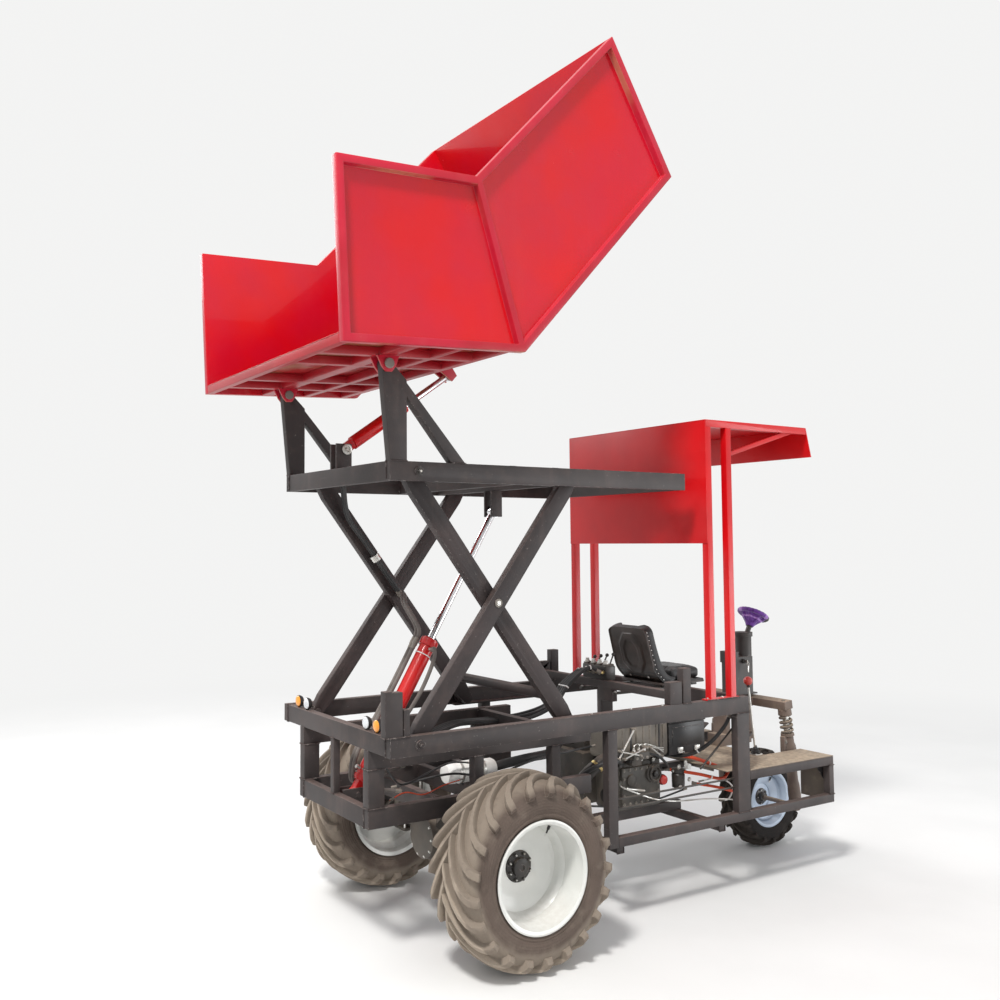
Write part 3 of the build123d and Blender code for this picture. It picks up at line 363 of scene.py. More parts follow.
# The border tubes: a more crimson copy of the skip's red, partly standing in for the pinker light they catch;
# their pale salmon edge tone is chipped paint and partly a painted highlight along the edges
red_tube = painted(
    "red_tube", (0.47, 0.008, 0.03), (0.39, 0.007, 0.02), (0.62, 0.2, 0.18), (0.66, 0.2, 0.19), 0.16, 0.32,
    wave=0.002, wear_and_edge_highlight=0.3, under=(0.5, 0.16, 0.1),
    Coat_Weight=0.15, Coat_Roughness=0.15, Specular_IOR_Level=0.35,
)
# Darker copies of red_tube and red_sheet for the tubes and sheets under the skip: painted shade on its
# underside
shaded_under_tube = painted(
    "shaded_under_tube", (0.37, 0.006, 0.014), (0.3, 0.005, 0.01), (0.56, 0.18, 0.15), (0.6, 0.19, 0.17), 0.22, 0.34,
)
shaded_under_sheet = painted(
    "shaded_under_sheet", (0.36, 0.004, 0.007), (0.27, 0.003, 0.005), (0.58, 0.2, 0.16), (0.68, 0.26, 0.22),
    0.26, 0.34, wave=0.01, wear_and_edge_highlight=0.2, under=(0.3, 0.12, 0.06),
    Coat_Weight=0.15, Coat_Roughness=0.15, Specular_IOR_Level=0.35,
)
ram_paint = painted(
    "ram_paint", (0.62, 0.005, 0.005), (0.52, 0.005, 0.007), (0.55, 0.2, 0.14), (0.6, 0.34, 0.28), 0.16, 0.24,
    wear_and_edge_highlight=0.25, Coat_Weight=0.4, Coat_Roughness=0.1, Specular_IOR_Level=0.35,
)
rim_white = painted(
    "rim_white", (0.78, 0.78, 0.75), (0.64, 0.65, 0.62), (0.4, 0.34, 0.28), (0.4, 0.34, 0.3), 0.3, 0.32,
    wear_and_edge_highlight=0.2, Coat_Weight=0.3, Coat_Roughness=0.2,
)
rim_blue = painted(
    "rim_blue", (0.55, 0.64, 0.76), (0.44, 0.52, 0.64), (0.36, 0.33, 0.3), (0.36, 0.32, 0.3), 0.3, 0.32,
    wear_and_edge_highlight=0.3,
)
(
    dusty_steel, fork_paint, column_paint, cast_metal, gear_casting,
    bolt_metal, oily_metal, tank_paint, black_panel,
) = (
    painted(name, base, shade, dust, BARE, dust_share, roughness, wear_and_edge_highlight=wear_and_edge_highlight)
    for name, base, shade, dust, dust_share, roughness, wear_and_edge_highlight in (
        ("dusty_steel", (0.095, 0.078, 0.066), (0.17, 0.135, 0.105), SAND, 0.95, 0.62, 0.5),
        ("fork_paint", (0.12, 0.086, 0.07), (0.2, 0.15, 0.12), SAND, 0.7, 0.6, 1.0),
        ("column_paint", (0.02, 0.018, 0.018), (0.036, 0.031, 0.029), (0.2, 0.15, 0.12), 0.35, 0.45, 1.0),
        ("cast_metal", (0.052, 0.047, 0.042), (0.11, 0.095, 0.078), CLAY, 0.75, 0.55, 1.0),
        ("gear_casting", (0.056, 0.051, 0.044), (0.1, 0.09, 0.075), CLAY, 0.7, 0.48, 1.0),
        ("bolt_metal", (0.16, 0.145, 0.125), (0.24, 0.215, 0.185), (0.28, 0.22, 0.17), 0.5, 0.45, 1.0),
        ("oily_metal", (0.02, 0.018, 0.017), (0.045, 0.04, 0.035), (0.16, 0.12, 0.09), 0.45, 0.3, 1.0),
        ("tank_paint", (0.105, 0.094, 0.08), (0.165, 0.147, 0.124), SAND, 0.7, 0.5, 1.0),
        ("black_panel", (0.012, 0.012, 0.013), (0.022, 0.021, 0.022), (0.16, 0.13, 0.11), 0.35, 0.35, 1.0),
    )
)
chrome_rod = metal("chrome_rod", (0.82, 0.82, 0.84), (0.42, 0.38, 0.34), 0.1, 0.25)
zinc = metal("zinc", (0.66, 0.65, 0.62), (0.3, 0.24, 0.18), 0.35, 0.5)
brass = metal("brass", (0.62, 0.5, 0.22), (0.28, 0.2, 0.1), 0.35, 0.5)
black_rubber = plain("black_rubber", (0.012, 0.012, 0.013), (0.03, 0.028, 0.028), 0.45, 150, 0.0006)
grey_rubber = plain("grey_rubber", (0.105, 0.09, 0.082), (0.19, 0.165, 0.15), 0.7, 150, 0.0006)
orange_hose = plain("orange_hose", (0.72, 0.075, 0.02), (0.55, 0.06, 0.02), 0.45, 150, 0.0006)
white_plastic = plain("white_plastic", (0.88, 0.88, 0.86), (0.78, 0.77, 0.73), 0.4)
black_plastic = plain("black_plastic", (0.016, 0.015, 0.015), (0.035, 0.03, 0.028), 0.42, 180, 0.0007)
knob_red = plain("knob_red", (0.62, 0.045, 0.035), (0.5, 0.04, 0.03), 0.3, Coat_Weight=0.4)
amber_lens = plain("amber_lens", (0.85, 0.33, 0.02), (0.75, 0.25, 0.02), 0.12, 60, 0.0004, Coat_Weight=0.8)
clear_lens = plain("clear_lens", (0.72, 0.74, 0.76), (0.5, 0.52, 0.55), 0.1, 60, 0.0004, Coat_Weight=1.0)
seat_plastic = plain("seat_plastic", (0.03, 0.021, 0.018), (0.058, 0.042, 0.036), 0.34, 240, 0.0007)
seat_cover = leather("seat_cover", (0.018, 0.018, 0.019))
purple_cover = woven("purple_cover", (0.075, 0.012, 0.19), (0.16, 0.045, 0.34))
# A paler lilac of the same cloth, laid on the wheel as painted highlights
lilac_highlight = woven("lilac_highlight", (0.42, 0.22, 0.62), (0.3, 0.14, 0.48))
rear_rubber = tyre_rubber(
    "rear_rubber", (AXLE_X, 0, AXLE_Z), 0.385, 0.425, 0.493,
    (0.275, 0.23, 0.185), (0.125, 0.094, 0.078), 0.95,
)
front_rubber = tyre_rubber(
    "front_rubber", (FRONT_HUB.x, 0, FRONT_HUB.z), 0.27, 0.3, 0.34,
    (0.066, 0.055, 0.046), (0.024, 0.021, 0.02), 0.6,
)

# ---------------------------------------------------------------- shaping

SHARP = radians(32)


def turned(direction):
    """A rotation that takes +Z to a direction."""
    return Vector(UP).rotation_difference(Vector(direction)).to_matrix().to_4x4()


def smooth_line(points, samples=8):
    """A smooth line through given points."""
    line = [Vector(p) for p in points]
    ends = [2 * line[0] - line[1], *line, 2 * line[-1] - line[-2]]
    made = []
    for k in range(1, len(ends) - 2):
        a, b, c, d = ends[k - 1:k + 3]
        for step in range(samples):
            t = step / samples
            made.append(0.5 * (
                2 * b + (c - a) * t + (2 * a - 5 * b + 4 * c - d) * t * t + (3 * b - a - 3 * c + d) * t ** 3
            ))
    return [*made, line[-1]]


class Piece:
    """One visible piece: simple shapes gathered into a mesh, each made of the material in use."""

    def __init__(self, name, body, slot, material, mesh=None):
        self.name, self.body, self.slot = name, body, slot
        self.materials = [material]
        self.mesh = mesh or bmesh.new()
        self.tone = 0

    def keep(self, faces):
        """Give new faces the material in use."""
        for face in faces:
            face.material_index = self.tone
            face.smooth = True

    def use(self, material):
        """Make what follows of another material."""
        if material not in self.materials:
            self.materials.append(material)
        self.tone = self.materials.index(material)
        return self

    def ring(self, points):
        """One ring of vertices."""
        return [self.mesh.verts.new(p) for p in points]

    def skin(self, rings, caps=True):
        """Faces between rings of like size, with or without end caps."""
        made = []
        for first, second in zip(rings, rings[1:]):
            for k in range(len(first)):
                after = (k + 1) % len(first)
                made.append(self.mesh.faces.new((first[k], first[after], second[after], second[k])))
        if caps:
            made.append(self.mesh.faces.new(list(reversed(rings[0]))))
            made.append(self.mesh.faces.new(rings[-1]))
        self.keep(made)

    def box(self, low, high, bevel=0.003, turn=None):
        """A block with rounded edges, turned about its own middle by a matrix."""
        low, high = Vector(low), Vector(high)
        centre, size = (low + high) / 2, high - low
        place = Matrix.Translation(centre) @ (turn or Matrix.Identity(4)) @ Matrix.Diagonal((*size, 1))
        before = set(self.mesh.faces)
        made = bmesh.ops.create_cube(self.mesh, size=1, matrix=place)
        bmesh.ops.bevel(
            self.mesh, geom=list({e for v in made["verts"] for e in v.link_edges}),
            offset=min(bevel, min(size) * 0.4), segments=2, profile=0.5, affect="EDGES", clamp_overlap=True,
        )
        self.keep([f for f in self.mesh.faces if f not in before])

    def lathe(self, profile, origin, direction, sides=32, closed=False):
        """A profile of (along, radius) pairs turned about a line."""
        place = Matrix.Translation(Vector(origin)) @ turned(direction)
        rings = [
            self.ring(place @ vec(radius * cos(a), radius * sin(a), along) for a in turns(sides))
            for along, radius in profile
        ]
        self.skin([*rings, rings[0]] if closed else rings, caps=not closed)

    def rod(self, start, end, radius, sides=16, edge=0.002):
        """A round bar with softened ends."""
        start, end = Vector(start), Vector(end)
        length = (end - start).length
        edge = min(edge, radius * 0.5, length * 0.3)
        profile = ((0, radius - edge), (edge, radius), (length - edge, radius), (length, radius - edge))
        self.lathe(profile, start, end - start, sides)

    def band(self, place, direction, start, end, inner, outer, sides, closed=False):
        """A flat ring round a line, from start to end along it."""
        profile = ((start, inner), (start, outer), (end, outer), (end, inner))
        self.lathe(profile, place, direction, sides, closed)

    def ball(self, place, direction, radius, steps, sides):
        """A round knob."""
        angles = [pi * n / steps for n in range(steps + 1)]
        profile = [(-radius * cos(a), max(0.001, radius * sin(a))) for a in angles]
        self.lathe(profile, place, direction, sides)

    def bolt(self, place, direction, size=0.008):
        """A hexagon head on a washer."""
        direction = Vector(direction).normalized()
        self.lathe(((0, size * 1.5), (size * 0.28, size * 1.5)), place, direction, 14)
        self.lathe(((size * 0.28, size), (size * 0.85, size), (size, size * 0.82)), place, direction, 6)

    def tube(self, points, radius, sides=8, samples=8, swell=None):
        """A round tube along a smooth line, its radius changed along it by swell(share)."""
        line = smooth_line(points, samples)
        rings = []
        side = None
        for k, place in enumerate(line):
            along = (line[min(k + 1, len(line) - 1)] - line[max(k - 1, 0)]).normalized()
            if side is None:
                side = along.orthogonal().normalized()
            side = (side - along * side.dot(along)).normalized()
            wide = radius * (swell(k / (len(line) - 1)) if swell else 1)
            across, up = side * wide, along.cross(side) * wide
            rings.append(self.ring(place + across * cos(a) + up * sin(a) for a in turns(sides)))
        self.skin(rings)

    def weld(self, start, end, radius=0.0045):
        """A rippled weld bead between two places."""
        start, end = Vector(start), Vector(end)
        count = max(2, int((end - start).length / (radius * 1.5)))
        seed = (start + end) * 7

        def ripple(t):
            return 0.72 + 0.28 * abs(cos(t * count * pi)) + 0.12 * noise.noise(seed + vec(t * 9, 0, 0))

        self.tube([start.lerp(end, k / count) for k in range(count + 1)], radius, 6, 2, ripple)

    def done(self, *nodes, shade=SHARP):
        """Make the object, let it ride on its body and stand for the nodes given."""
        bmesh.ops.recalc_face_normals(self.mesh, faces=self.mesh.faces)
        data = bpy.data.meshes.new(self.name)
        self.mesh.to_mesh(data)
        self.mesh.free()
        for material in self.materials:
            data.materials.append(material)
        data.set_sharp_from_angle(angle=shade)
        made = bpy.data.objects.new(self.name, data)
        bpy.context.scene.collection.objects.link(made)
        if self.body:
            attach(made, self.body)
        if nodes:
            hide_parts(*nodes)
        return made


def frame_mesh(node):
    """A frame node's own shape, with its doubled vertices joined."""
    work = bmesh.new()
    work.from_mesh(frame["nodes"][node].data)
    bmesh.ops.remove_doubles(work, verts=work.verts, dist=1e-5)
    return work


def islands(node):
    """The low and high corners of each separate solid in a frame node."""
    work = frame_mesh(node)
    left = set(work.verts)
    found = []
    while left:
        group, front = [], [left.pop()]
        while front:
            vertex = front.pop()
            group.append(vertex.co.copy())
            for edge in vertex.link_edges:
                other = edge.other_vert(vertex)
                if other in left:
                    left.remove(other)
                    front.append(other)
        found.append(tuple(Vector(end(p[k] for p in group) for k in range(3)) for end in (min, max)))
    work.free()
    return sorted(found, key=lambda pair: tuple(round(v, 4) for v in (*pair[0], *pair[1])))


def softened(node, material, slot, width, border=None, beyond=0):
    """A frame node's own shape with rolled edges, and a border material beyond a distance to the side."""
    work = frame_mesh(node)
    piece = Piece(f"{node}_steel", BODY_OF[node], slot, material, work)
    bmesh.ops.dissolve_limit(work, angle_limit=radians(0.6), verts=work.verts, edges=work.edges)
    for face in work.faces:
        face.material_index = 0
        angles = [e.calc_face_angle(0) for e in face.edges if len(e.link_faces) == 2]
        face.smooth = any(radians(0.8) < angle < radians(24) for angle in angles)
    sharp = [e for e in work.edges if len(e.link_faces) == 2 and e.calc_face_angle(0) > radians(28)]
    made = bmesh.ops.bevel(
        work, geom=sharp, offset=width, segments=3, profile=0.5, affect="EDGES", clamp_overlap=True
    )
    for face in made["faces"]:
        face.smooth = True
    if border:
        piece.use(border)
        for face in work.faces:
            face.material_index = int(abs(face.calc_center_median().y) > beyond)
    piece.done(node, shade=radians(40))


# Where the skip's side sheets end and the tubes that border them begin, from the middle
SHEET_OUTER = abs(box("skip_side_right")[1].y) + 0.006
# Frame nodes that keep their shape, after their material, their slot and how far their edges are rolled
KEPT = (
    (frame_paint, "frame_paint", 0.005, "chassis_side_beams", "chassis_cross_beams", "chassis_posts"),
    (frame_paint, "frame_paint", 0.005, "lower_rails"),
    (dusty_steel, "dusty_steel", 0.0015, "nose_plates", "cab_floor"),
    (fork_paint, "dusty_steel", 0.004, "steering_head"),
    (column_paint, "dusty_steel", 0.005, "steering_column"),
    (fork_paint, "dusty_steel", 0.006, "fork_crown"),
    (oily_metal, "bright_pin", 0.001, "control_rods"),
    (frame_paint, "frame_paint", 0.004, "seat_beam"),
    (red_paint, "red_paint", 0.004, "canopy_posts"),
    (red_paint, "red_paint", 0.0015, "canopy_roof", "canopy_back_panel", "canopy_visor"),
    (frame_paint, "frame_paint", 0.002, "lift_base_bracket"),
    (arm_paint, "frame_paint", 0.006, "outer_arms", "inner_arms"),
    (arm_paint, "bright_pin", 0.002, "outer_arm_shafts", "inner_arm_shafts"),
    (frame_paint, "frame_paint", 0.004, "platform_side_beams", "platform_cross_beams"),
    (frame_paint, "frame_paint", 0.002, "platform_cylinder_brackets"),
    (frame_paint, "frame_paint", 0.004, "hinge_brackets"),
    (red_sheet, "red_sheet", 0.004, "skip_side_right", "skip_side_left"),
    (shaded_under_sheet, "red_sheet", 0.0015, "skip_floor", "skip_ramp"),
    (red_sheet, "red_sheet", 0.0015, "skip_front_wall"),
    (shaded_under_tube, "red_sheet", 0.004, "skip_ramp_frame", "skip_floor_frame"),
    (red_tube, "red_sheet", 0.003, "skip_lugs"),
    (ram_paint, "red_paint", 0.002, "lift_cylinder_barrel", "tip_cylinder_barrel"),
    (chrome_rod, "chrome_rod", 0.002, "lift_cylinder_rod", "tip_cylinder_rod"),
)
for material, slot, width, *nodes in KEPT:
    for node in nodes:
        side_sheet = (red_tube, SHEET_OUTER) if node.startswith("skip_side") else ()
        softened(node, material, slot, width, *side_sheet)

# ---------------------------------------------------------------- wheels

# Shares of the half width and depths below the lugs' tops, from the crown down the side wall to the bead
CARCASS = (
    (0.0, 0.032), (0.3, 0.034), (0.55, 0.04), (0.72, 0.049), (0.84, 0.062), (0.91, 0.08), (0.955, 0.105),
    (0.98, 0.135), (0.97, 0.16), (0.93, 0.18), (0.945, 0.186), (0.94, 0.192), (0.9, 0.2), (0.86, 0.213),
)
# How far down that outline the lugs reach, how far they turn on the way, and in how many steps
LUG_REACH, LUG_SKEW, LUG_STATIONS = 0.62, 0.6, 15
# A lug's section, as shares of its width and its depth
LUG_SECTION = (
    (-0.7, -0.2), (-0.54, 0.5), (-0.46, 0.93), (-0.38, 1.0),
    (0.38, 1.0), (0.46, 0.93), (0.54, 0.5), (0.7, -0.2),
)


def along_outline(outline, share):
    """A place part of the way along an outline, and the way out from it there."""
    lengths = [hypot(b[0] - a[0], b[1] - a[1]) for a, b in zip(outline, outline[1:])]
    left = share * sum(lengths)
    for (a, b), length in zip(zip(outline, outline[1:]), lengths):
        if left <= length:
            t = left / length
            out = Vector((-(b[1] - a[1]), b[0] - a[0])).normalized()
            return Vector((a[0] + (b[0] - a[0]) * t, a[1] + (b[1] - a[1]) * t)), out
        left -= length
    return Vector(outline[-1]), Vector((1, 0))


def make_tyre(node, lugs, lug_depth, lug_width, scale, material):
    """A tyre with staggered chevron lugs that run from its middle to its shoulders."""
    piece = Piece(f"{node}_rubber", BODY_OF[node], "tyre", material)
    hub, half, outer = middle(node), half_size(node).y, half_size(node).z
    outline = [(share * half, outer - depth * scale) for share, depth in CARCASS]
    inside = [(y * 0.86, r - 0.004) for y, r in reversed(outline[9:])]
    other_side = [[(-y, r) for y, r in reversed(rows)] for rows in (outline[1:], inside)]
    piece.lathe(other_side[0] + outline + inside + other_side[1], hub, LEFT, 120, closed=True)
    for side in (-1, 1):
        for k, start in enumerate(turns(lugs, 0.5 if side > 0 else 0)):
            rings = []
            for n in range(LUG_STATIONS):
                t = n / (LUG_STATIONS - 1)
                place, out = along_outline(outline, t * LUG_REACH)
                if out.y < 0:
                    out = -out
                fade = 1 - 0.6 * max(0, (t - 0.88) / 0.12) ** 2
                rise = lug_depth * fade * (0.96 + 0.04 * noise.noise(vec(k * 3.1, side * 5, t * 4)))
                angle = start + LUG_SKEW * sin(t * pi / 2) - 0.012 / outer
                wide = lug_width * (1.0 + 0.25 * t) / outer
                section = []
                for across, up in LUG_SECTION:
                    y = side * (place.x + out.x * rise * up - 0.01 * (1 - t))
                    r = min(place.y + out.y * rise * up, outer)
                    turn = angle + across * wide
                    section.append(hub + vec(r * cos(turn), y, r * sin(turn)))
                rings.append(piece.ring(section))
            piece.skin(rings)
    piece.done(node, shade=radians(38))


def make_rim(node, hub, out_sign, half, disc_at, hub_radius, material, nuts):
    """A dished rim with rolled flanges, a stepped barrel, its disc, and the hub with its nuts."""
    piece = Piece(f"{node}_steel", BODY_OF[node], "rim_paint", material)
    radius = half_size(node).z
    lip, seat, drop = radius + 0.004, radius * 0.955, radius * 0.86
    out = vec(0, out_sign, 0)
    piece.lathe((
        (-half, radius * 0.97), (-half, lip), (-half + 0.01, lip), (-half + 0.012, seat + 0.004),
        (-half * 0.62, seat), (-half * 0.5, drop), (half * 0.05, drop), (half * 0.18, seat * 0.97),
        (half - 0.014, seat + 0.002), (half - 0.01, lip), (half - 0.003, lip + 0.002), (half, lip - 0.002),
        (half + 0.001, lip - 0.008), (half - 0.006, seat - 0.006), (half * 0.72, seat - 0.012),
        (half * 0.6, seat - 0.018), (half * 0.26, seat - 0.02), (half * 0.14, drop - 0.01),
        (disc_at + 0.05, drop - 0.012), (disc_at + 0.034, drop - 0.02), (disc_at + 0.03, drop - 0.045),
        (disc_at + 0.012, drop - 0.075), (disc_at + 0.006, hub_radius * 1.5),
        (disc_at + 0.01, hub_radius * 1.25), (disc_at + 0.01, hub_radius * 0.6),
        (disc_at - 0.002, hub_radius * 0.6), (disc_at - 0.006, drop - 0.075),
        (disc_at + 0.01, drop - 0.03), (disc_at + 0.01, drop - 0.01), (-half * 0.48, drop - 0.01),
        (-half * 0.66, seat - 0.01), (-half + 0.006, seat - 0.006),
    ), hub, out, 96, closed=True)
    cap = disc_at + 0.01
    piece.use(oily_metal).lathe((
        (cap - 0.055, hub_radius * 0.98), (cap, hub_radius * 0.98), (cap + 0.006, hub_radius * 0.92),
        (cap + 0.01, hub_radius * 0.6), (cap + 0.03, hub_radius * 0.56), (cap + 0.034, hub_radius * 0.48),
        (cap + 0.034, hub_radius * 0.2), (cap + 0.028, hub_radius * 0.16),
    ), hub, out, 40)
    for turn in turns(nuts, 0.5):
        place = hub + vec(cos(turn), 0, sin(turn)) * hub_radius * 0.8 + out * (cap + 0.006)
        piece.use(oily_metal).bolt(place, out, hub_radius * 0.115)
        piece.use(zinc).rod(place, place + out * hub_radius * 0.22, hub_radius * 0.055, 8)
    stem = hub + vec(0.5, 0, 0.86) * (seat - 0.03) + out * (half * 0.4)
    inward = vec(-0.5, 0, -0.86)
    piece.use(black_rubber).lathe(
        ((-0.012, 0.008), (0.006, 0.008), (0.01, 0.005), (0.03, 0.0045)), stem, inward, 12
    )
    piece.use(zinc).rod(stem + inward * 0.028, stem + inward * 0.046, 0.004, 10)
    piece.done(node)


for side_name, sign in (("right", -1), ("left", 1)):
    tyre = f"rear_tyre_{side_name}"
    make_tyre(tyre, 21, 0.037, 0.037, 1.0, rear_rubber)
    make_rim(
        f"rear_rim_{side_name}", middle(tyre), sign, half_size("rear_rim_right").y, -0.04, 0.085, rim_white, 8
    )
make_tyre("front_tyre", 18, 0.023, 0.027, 0.66, front_rubber)
make_rim("front_rim", FRONT_HUB, -1, 0.095, 0.0, 0.06, rim_blue, 5)

# ---------------------------------------------------------------- rear axle

axle_line = vec(AXLE_X, 0, half_size("rear_tyre_right").z)
axle = Piece("rear_axle_housing", "chassis", "cast_metal", oily_metal)
axle.lathe((
    (-0.6, 0.06), (-0.58, 0.07), (-0.55, 0.07), (-0.54, 0.052),
    (-0.2, 0.055), (-0.13, 0.1), (-0.11, 0.142), (-0.07, 0.15), (0.07, 0.15), (0.11, 0.142), (0.13, 0.1),
    (0.2, 0.055), (0.54, 0.052), (0.55, 0.07), (0.58, 0.07), (0.6, 0.06),
), axle_line, LEFT, 40)
for sign in (-1, 1):
    axle.use(oily_metal).rod(*path(axle_line, (0, sign * 0.59, 0), (0, sign * 0.735, 0)), 0.038, 20)
    spring_seat = axle_line + vec(-0.09, 0.37, 0), (AXLE_X + 0.09, 0.42, 0.71)
    axle.use(cast_metal).box(*mirrored(sign, *spring_seat), 0.006)
    for ahead in (-0.055, 0.055):
        for across in (-0.045, 0.045):
            foot = axle_line + vec(ahead, sign * (0.395 + across), -0.075)
            axle.use(zinc).rod(foot, foot + vec(0, 0, 0.29), 0.007, 10)
    clamp_plate = path(axle_line, (-0.07, 0.335, -0.07), (0.07, 0.455, -0.052))
    axle.use(cast_metal).box(*mirrored(sign, *clamp_plate), 0.004)
axle.use(oily_metal).lathe(
    ((0.08, 0.07), (0.12, 0.062), (0.22, 0.055), (0.24, 0.062), (0.26, 0.062)), axle_line, AHEAD, 28
)
axle.use(cast_metal).lathe(
    ((-0.165, 0.06), (-0.16, 0.105), (-0.15, 0.128), (-0.1, 0.135)), axle_line, AHEAD, 32
)
for turn in turns(10):
    axle.use(zinc).bolt(axle_line + vec(-0.152, 0.112 * cos(turn), 0.112 * sin(turn)), BACK, 0.007)
axle.done("rear_axle")

# ---------------------------------------------------------------- front fork

fork_place = Matrix.Translation(JOINT_AT["steer"]) @ turned(JOINT_AXIS["steer"])
COIL_TURNS, COIL_POINTS = 3.2, 96
legs = Piece("fork_spring_legs", "fork", "dusty_steel", fork_paint)
for sign in (-1, 1):
    top = fork_place @ vec(0.045, sign * 0.31, -0.03)
    foot = fork_place @ vec(0.045, sign * 0.31, -0.745)
    down = (foot - top).normalized()
    legs.use(zinc).rod(top, top + down * 0.36, 0.022, 20)
    legs.use(fork_paint).lathe((
        (-0.004, 0.03), (0.0, 0.044), (0.034, 0.046), (0.04, 0.046), (0.046, 0.04), (0.048, 0.024),
    ), top, down, 32)
    legs.lathe((
        (0.168, 0.024), (0.17, 0.044), (0.186, 0.046), (0.192, 0.038), (0.235, 0.039), (0.262, 0.047),
        (0.292, 0.048), (0.315, 0.038), (0.5, 0.035), (0.53, 0.04), (0.6, 0.043), (0.66, 0.04),
        (0.668, 0.036), (0.7, 0.034), (0.712, 0.024),
    ), top, down, 32)
    side = down.orthogonal().normalized()
    other = down.cross(side)
    coil = []
    for k in range(COIL_POINTS + 1):
        turn = 2 * pi * COIL_TURNS * k / COIL_POINTS
        along = 0.054 + 0.106 * k / COIL_POINTS
        coil.append(top + down * along + (side * cos(turn) + other * sin(turn)) * 0.036)
    legs.use(dusty_steel).tube(coil, 0.0095, 8, 1)
    ear = top + down * 0.245 + vec(-0.048, 0, 0)
    legs.use(fork_paint).box(ear - vec(0.02, 0.018, 0.055), ear + vec(0.02, 0.018, 0.055), 0.006)
    legs.use(bolt_metal).bolt(ear + vec(0, sign * 0.018, 0.02), (0, sign, 0), 0.008)
    legs.bolt(top - down * 0.052 + vec(-0.004, 0, 0), -down, 0.013)
    legs.use(zinc).bolt((FRONT_HUB.x, sign * 0.336, FRONT_HUB.z), (0, sign, 0), 0.013)
legs.use(fork_paint).rod((FRONT_HUB.x, -0.345, FRONT_HUB.z), (FRONT_HUB.x, 0.345, FRONT_HUB.z), 0.0148, 20)
legs.done("fork_legs")

# ---------------------------------------------------------------- steering wheel

wheel_axis = JOINT_AXIS["steering_wheel_turn"]
wheel_place = Matrix.Translation(WHEEL_HUB) @ turned(wheel_axis)


def on_wheel(radius, turn, up):
    """A place on the steering wheel."""
    return wheel_place @ vec(radius * cos(turn), radius * sin(turn), up)


wheel = Piece("steering_wheel_cover", "steering_wheel", "wheel_cover", purple_cover)
GRIP_MIDDLE, GRIP_STEPS, CLOTH_ROWS = 0.097, 96, 8
rings = []
for turn in turns(GRIP_STEPS):
    puffy = 0.0165 + 0.0009 * sin(turn * 24) + 0.0012 * noise.noise(vec(cos(turn) * 3, sin(turn) * 3, 0))
    rings.append(wheel.ring(
        on_wheel(GRIP_MIDDLE + puffy * cos(a), turn, 0.012 + puffy * sin(a)) for a in turns(14)
    ))
for k in range(GRIP_STEPS):
    # The two lilac stretches of the grip are painted highlights
    highlit = 72 <= k < 78 or 40 <= k < 46
    wheel.use(black_plastic if 78 <= k < 90 else lilac_highlight if highlit else purple_cover)
    wheel.skin([rings[k], rings[(k + 1) % GRIP_STEPS]], caps=False)
cloth_rings = []
for r in range(CLOTH_ROWS + 1):
    share = r / CLOTH_ROWS
    folds = ((a, 1 + 0.1 * share * sin(7 * a + 2 * share) + 0.05 * share * sin(16 * a)) for a in turns(96))
    cloth_rings.append(wheel.ring(
        on_wheel((0.026 + 0.066 * share ** 1.3) * fold, a, -0.082 + 0.084 * share) for a, fold in folds
    ))
# The lilac ring in the cloth is a painted highlight
for r in range(CLOTH_ROWS):
    wheel.use(lilac_highlight if r == 5 else purple_cover).skin(cloth_rings[r:r + 2], caps=False)
SPOKE = ((0.028, 0.004), (0.05, 0.006), (0.075, 0.011), (0.094, 0.012))
for k, turn in enumerate(turns(3)):
    spoke = [on_wheel(radius, turn, up) for radius, up in SPOKE]
    wheel.use(purple_cover if k else black_plastic).tube(spoke, 0.0115, 12, 6, lambda t: 1.25 - 0.3 * t)
wheel.lathe(
    ((-0.002, 0.024), (0.0, 0.03), (0.016, 0.029), (0.021, 0.024), (0.023, 0.01)), WHEEL_HUB, wheel_axis, 32
)
wheel.use(oily_metal).bolt(on_wheel(0, 0, 0.023) - wheel_axis * 0.006, wheel_axis, 0.007)
wheel.done("steering_wheel")

# ---------------------------------------------------------------- column, pedals and nose

column_foot = box("steering_column")[0]
column_lean = (WHEEL_HUB.x - (column_foot.x + 0.045)) / (WHEEL_HUB.z - column_foot.z)
LOCK_HEIGHT = 1.33
small = Piece("column_and_deck_fittings", "chassis", None, black_plastic)
lock = vec(WHEEL_HUB.x - (WHEEL_HUB.z - LOCK_HEIGHT) * column_lean, -0.06, LOCK_HEIGHT)
small.lathe(((0, 0.017), (0.012, 0.017), (0.016, 0.013), (0.016, 0.006)), lock, RIGHT, 24)
small.use(zinc).box(lock + vec(-0.002, -0.04, -0.01), lock + vec(0.002, -0.016, 0.01), 0.001)
key_ring = lock + vec(0, -0.044, -0.016)
wire = [(0.0018 * sin(a), 0.014 + 0.0018 * cos(a)) for a in turns(8)]
small.lathe(wire, key_ring, (0.25, -1, 0), 28, closed=True)
small.box(key_ring + vec(-0.006, -0.003, -0.058), key_ring + vec(0.006, -0.001, -0.014), 0.001)
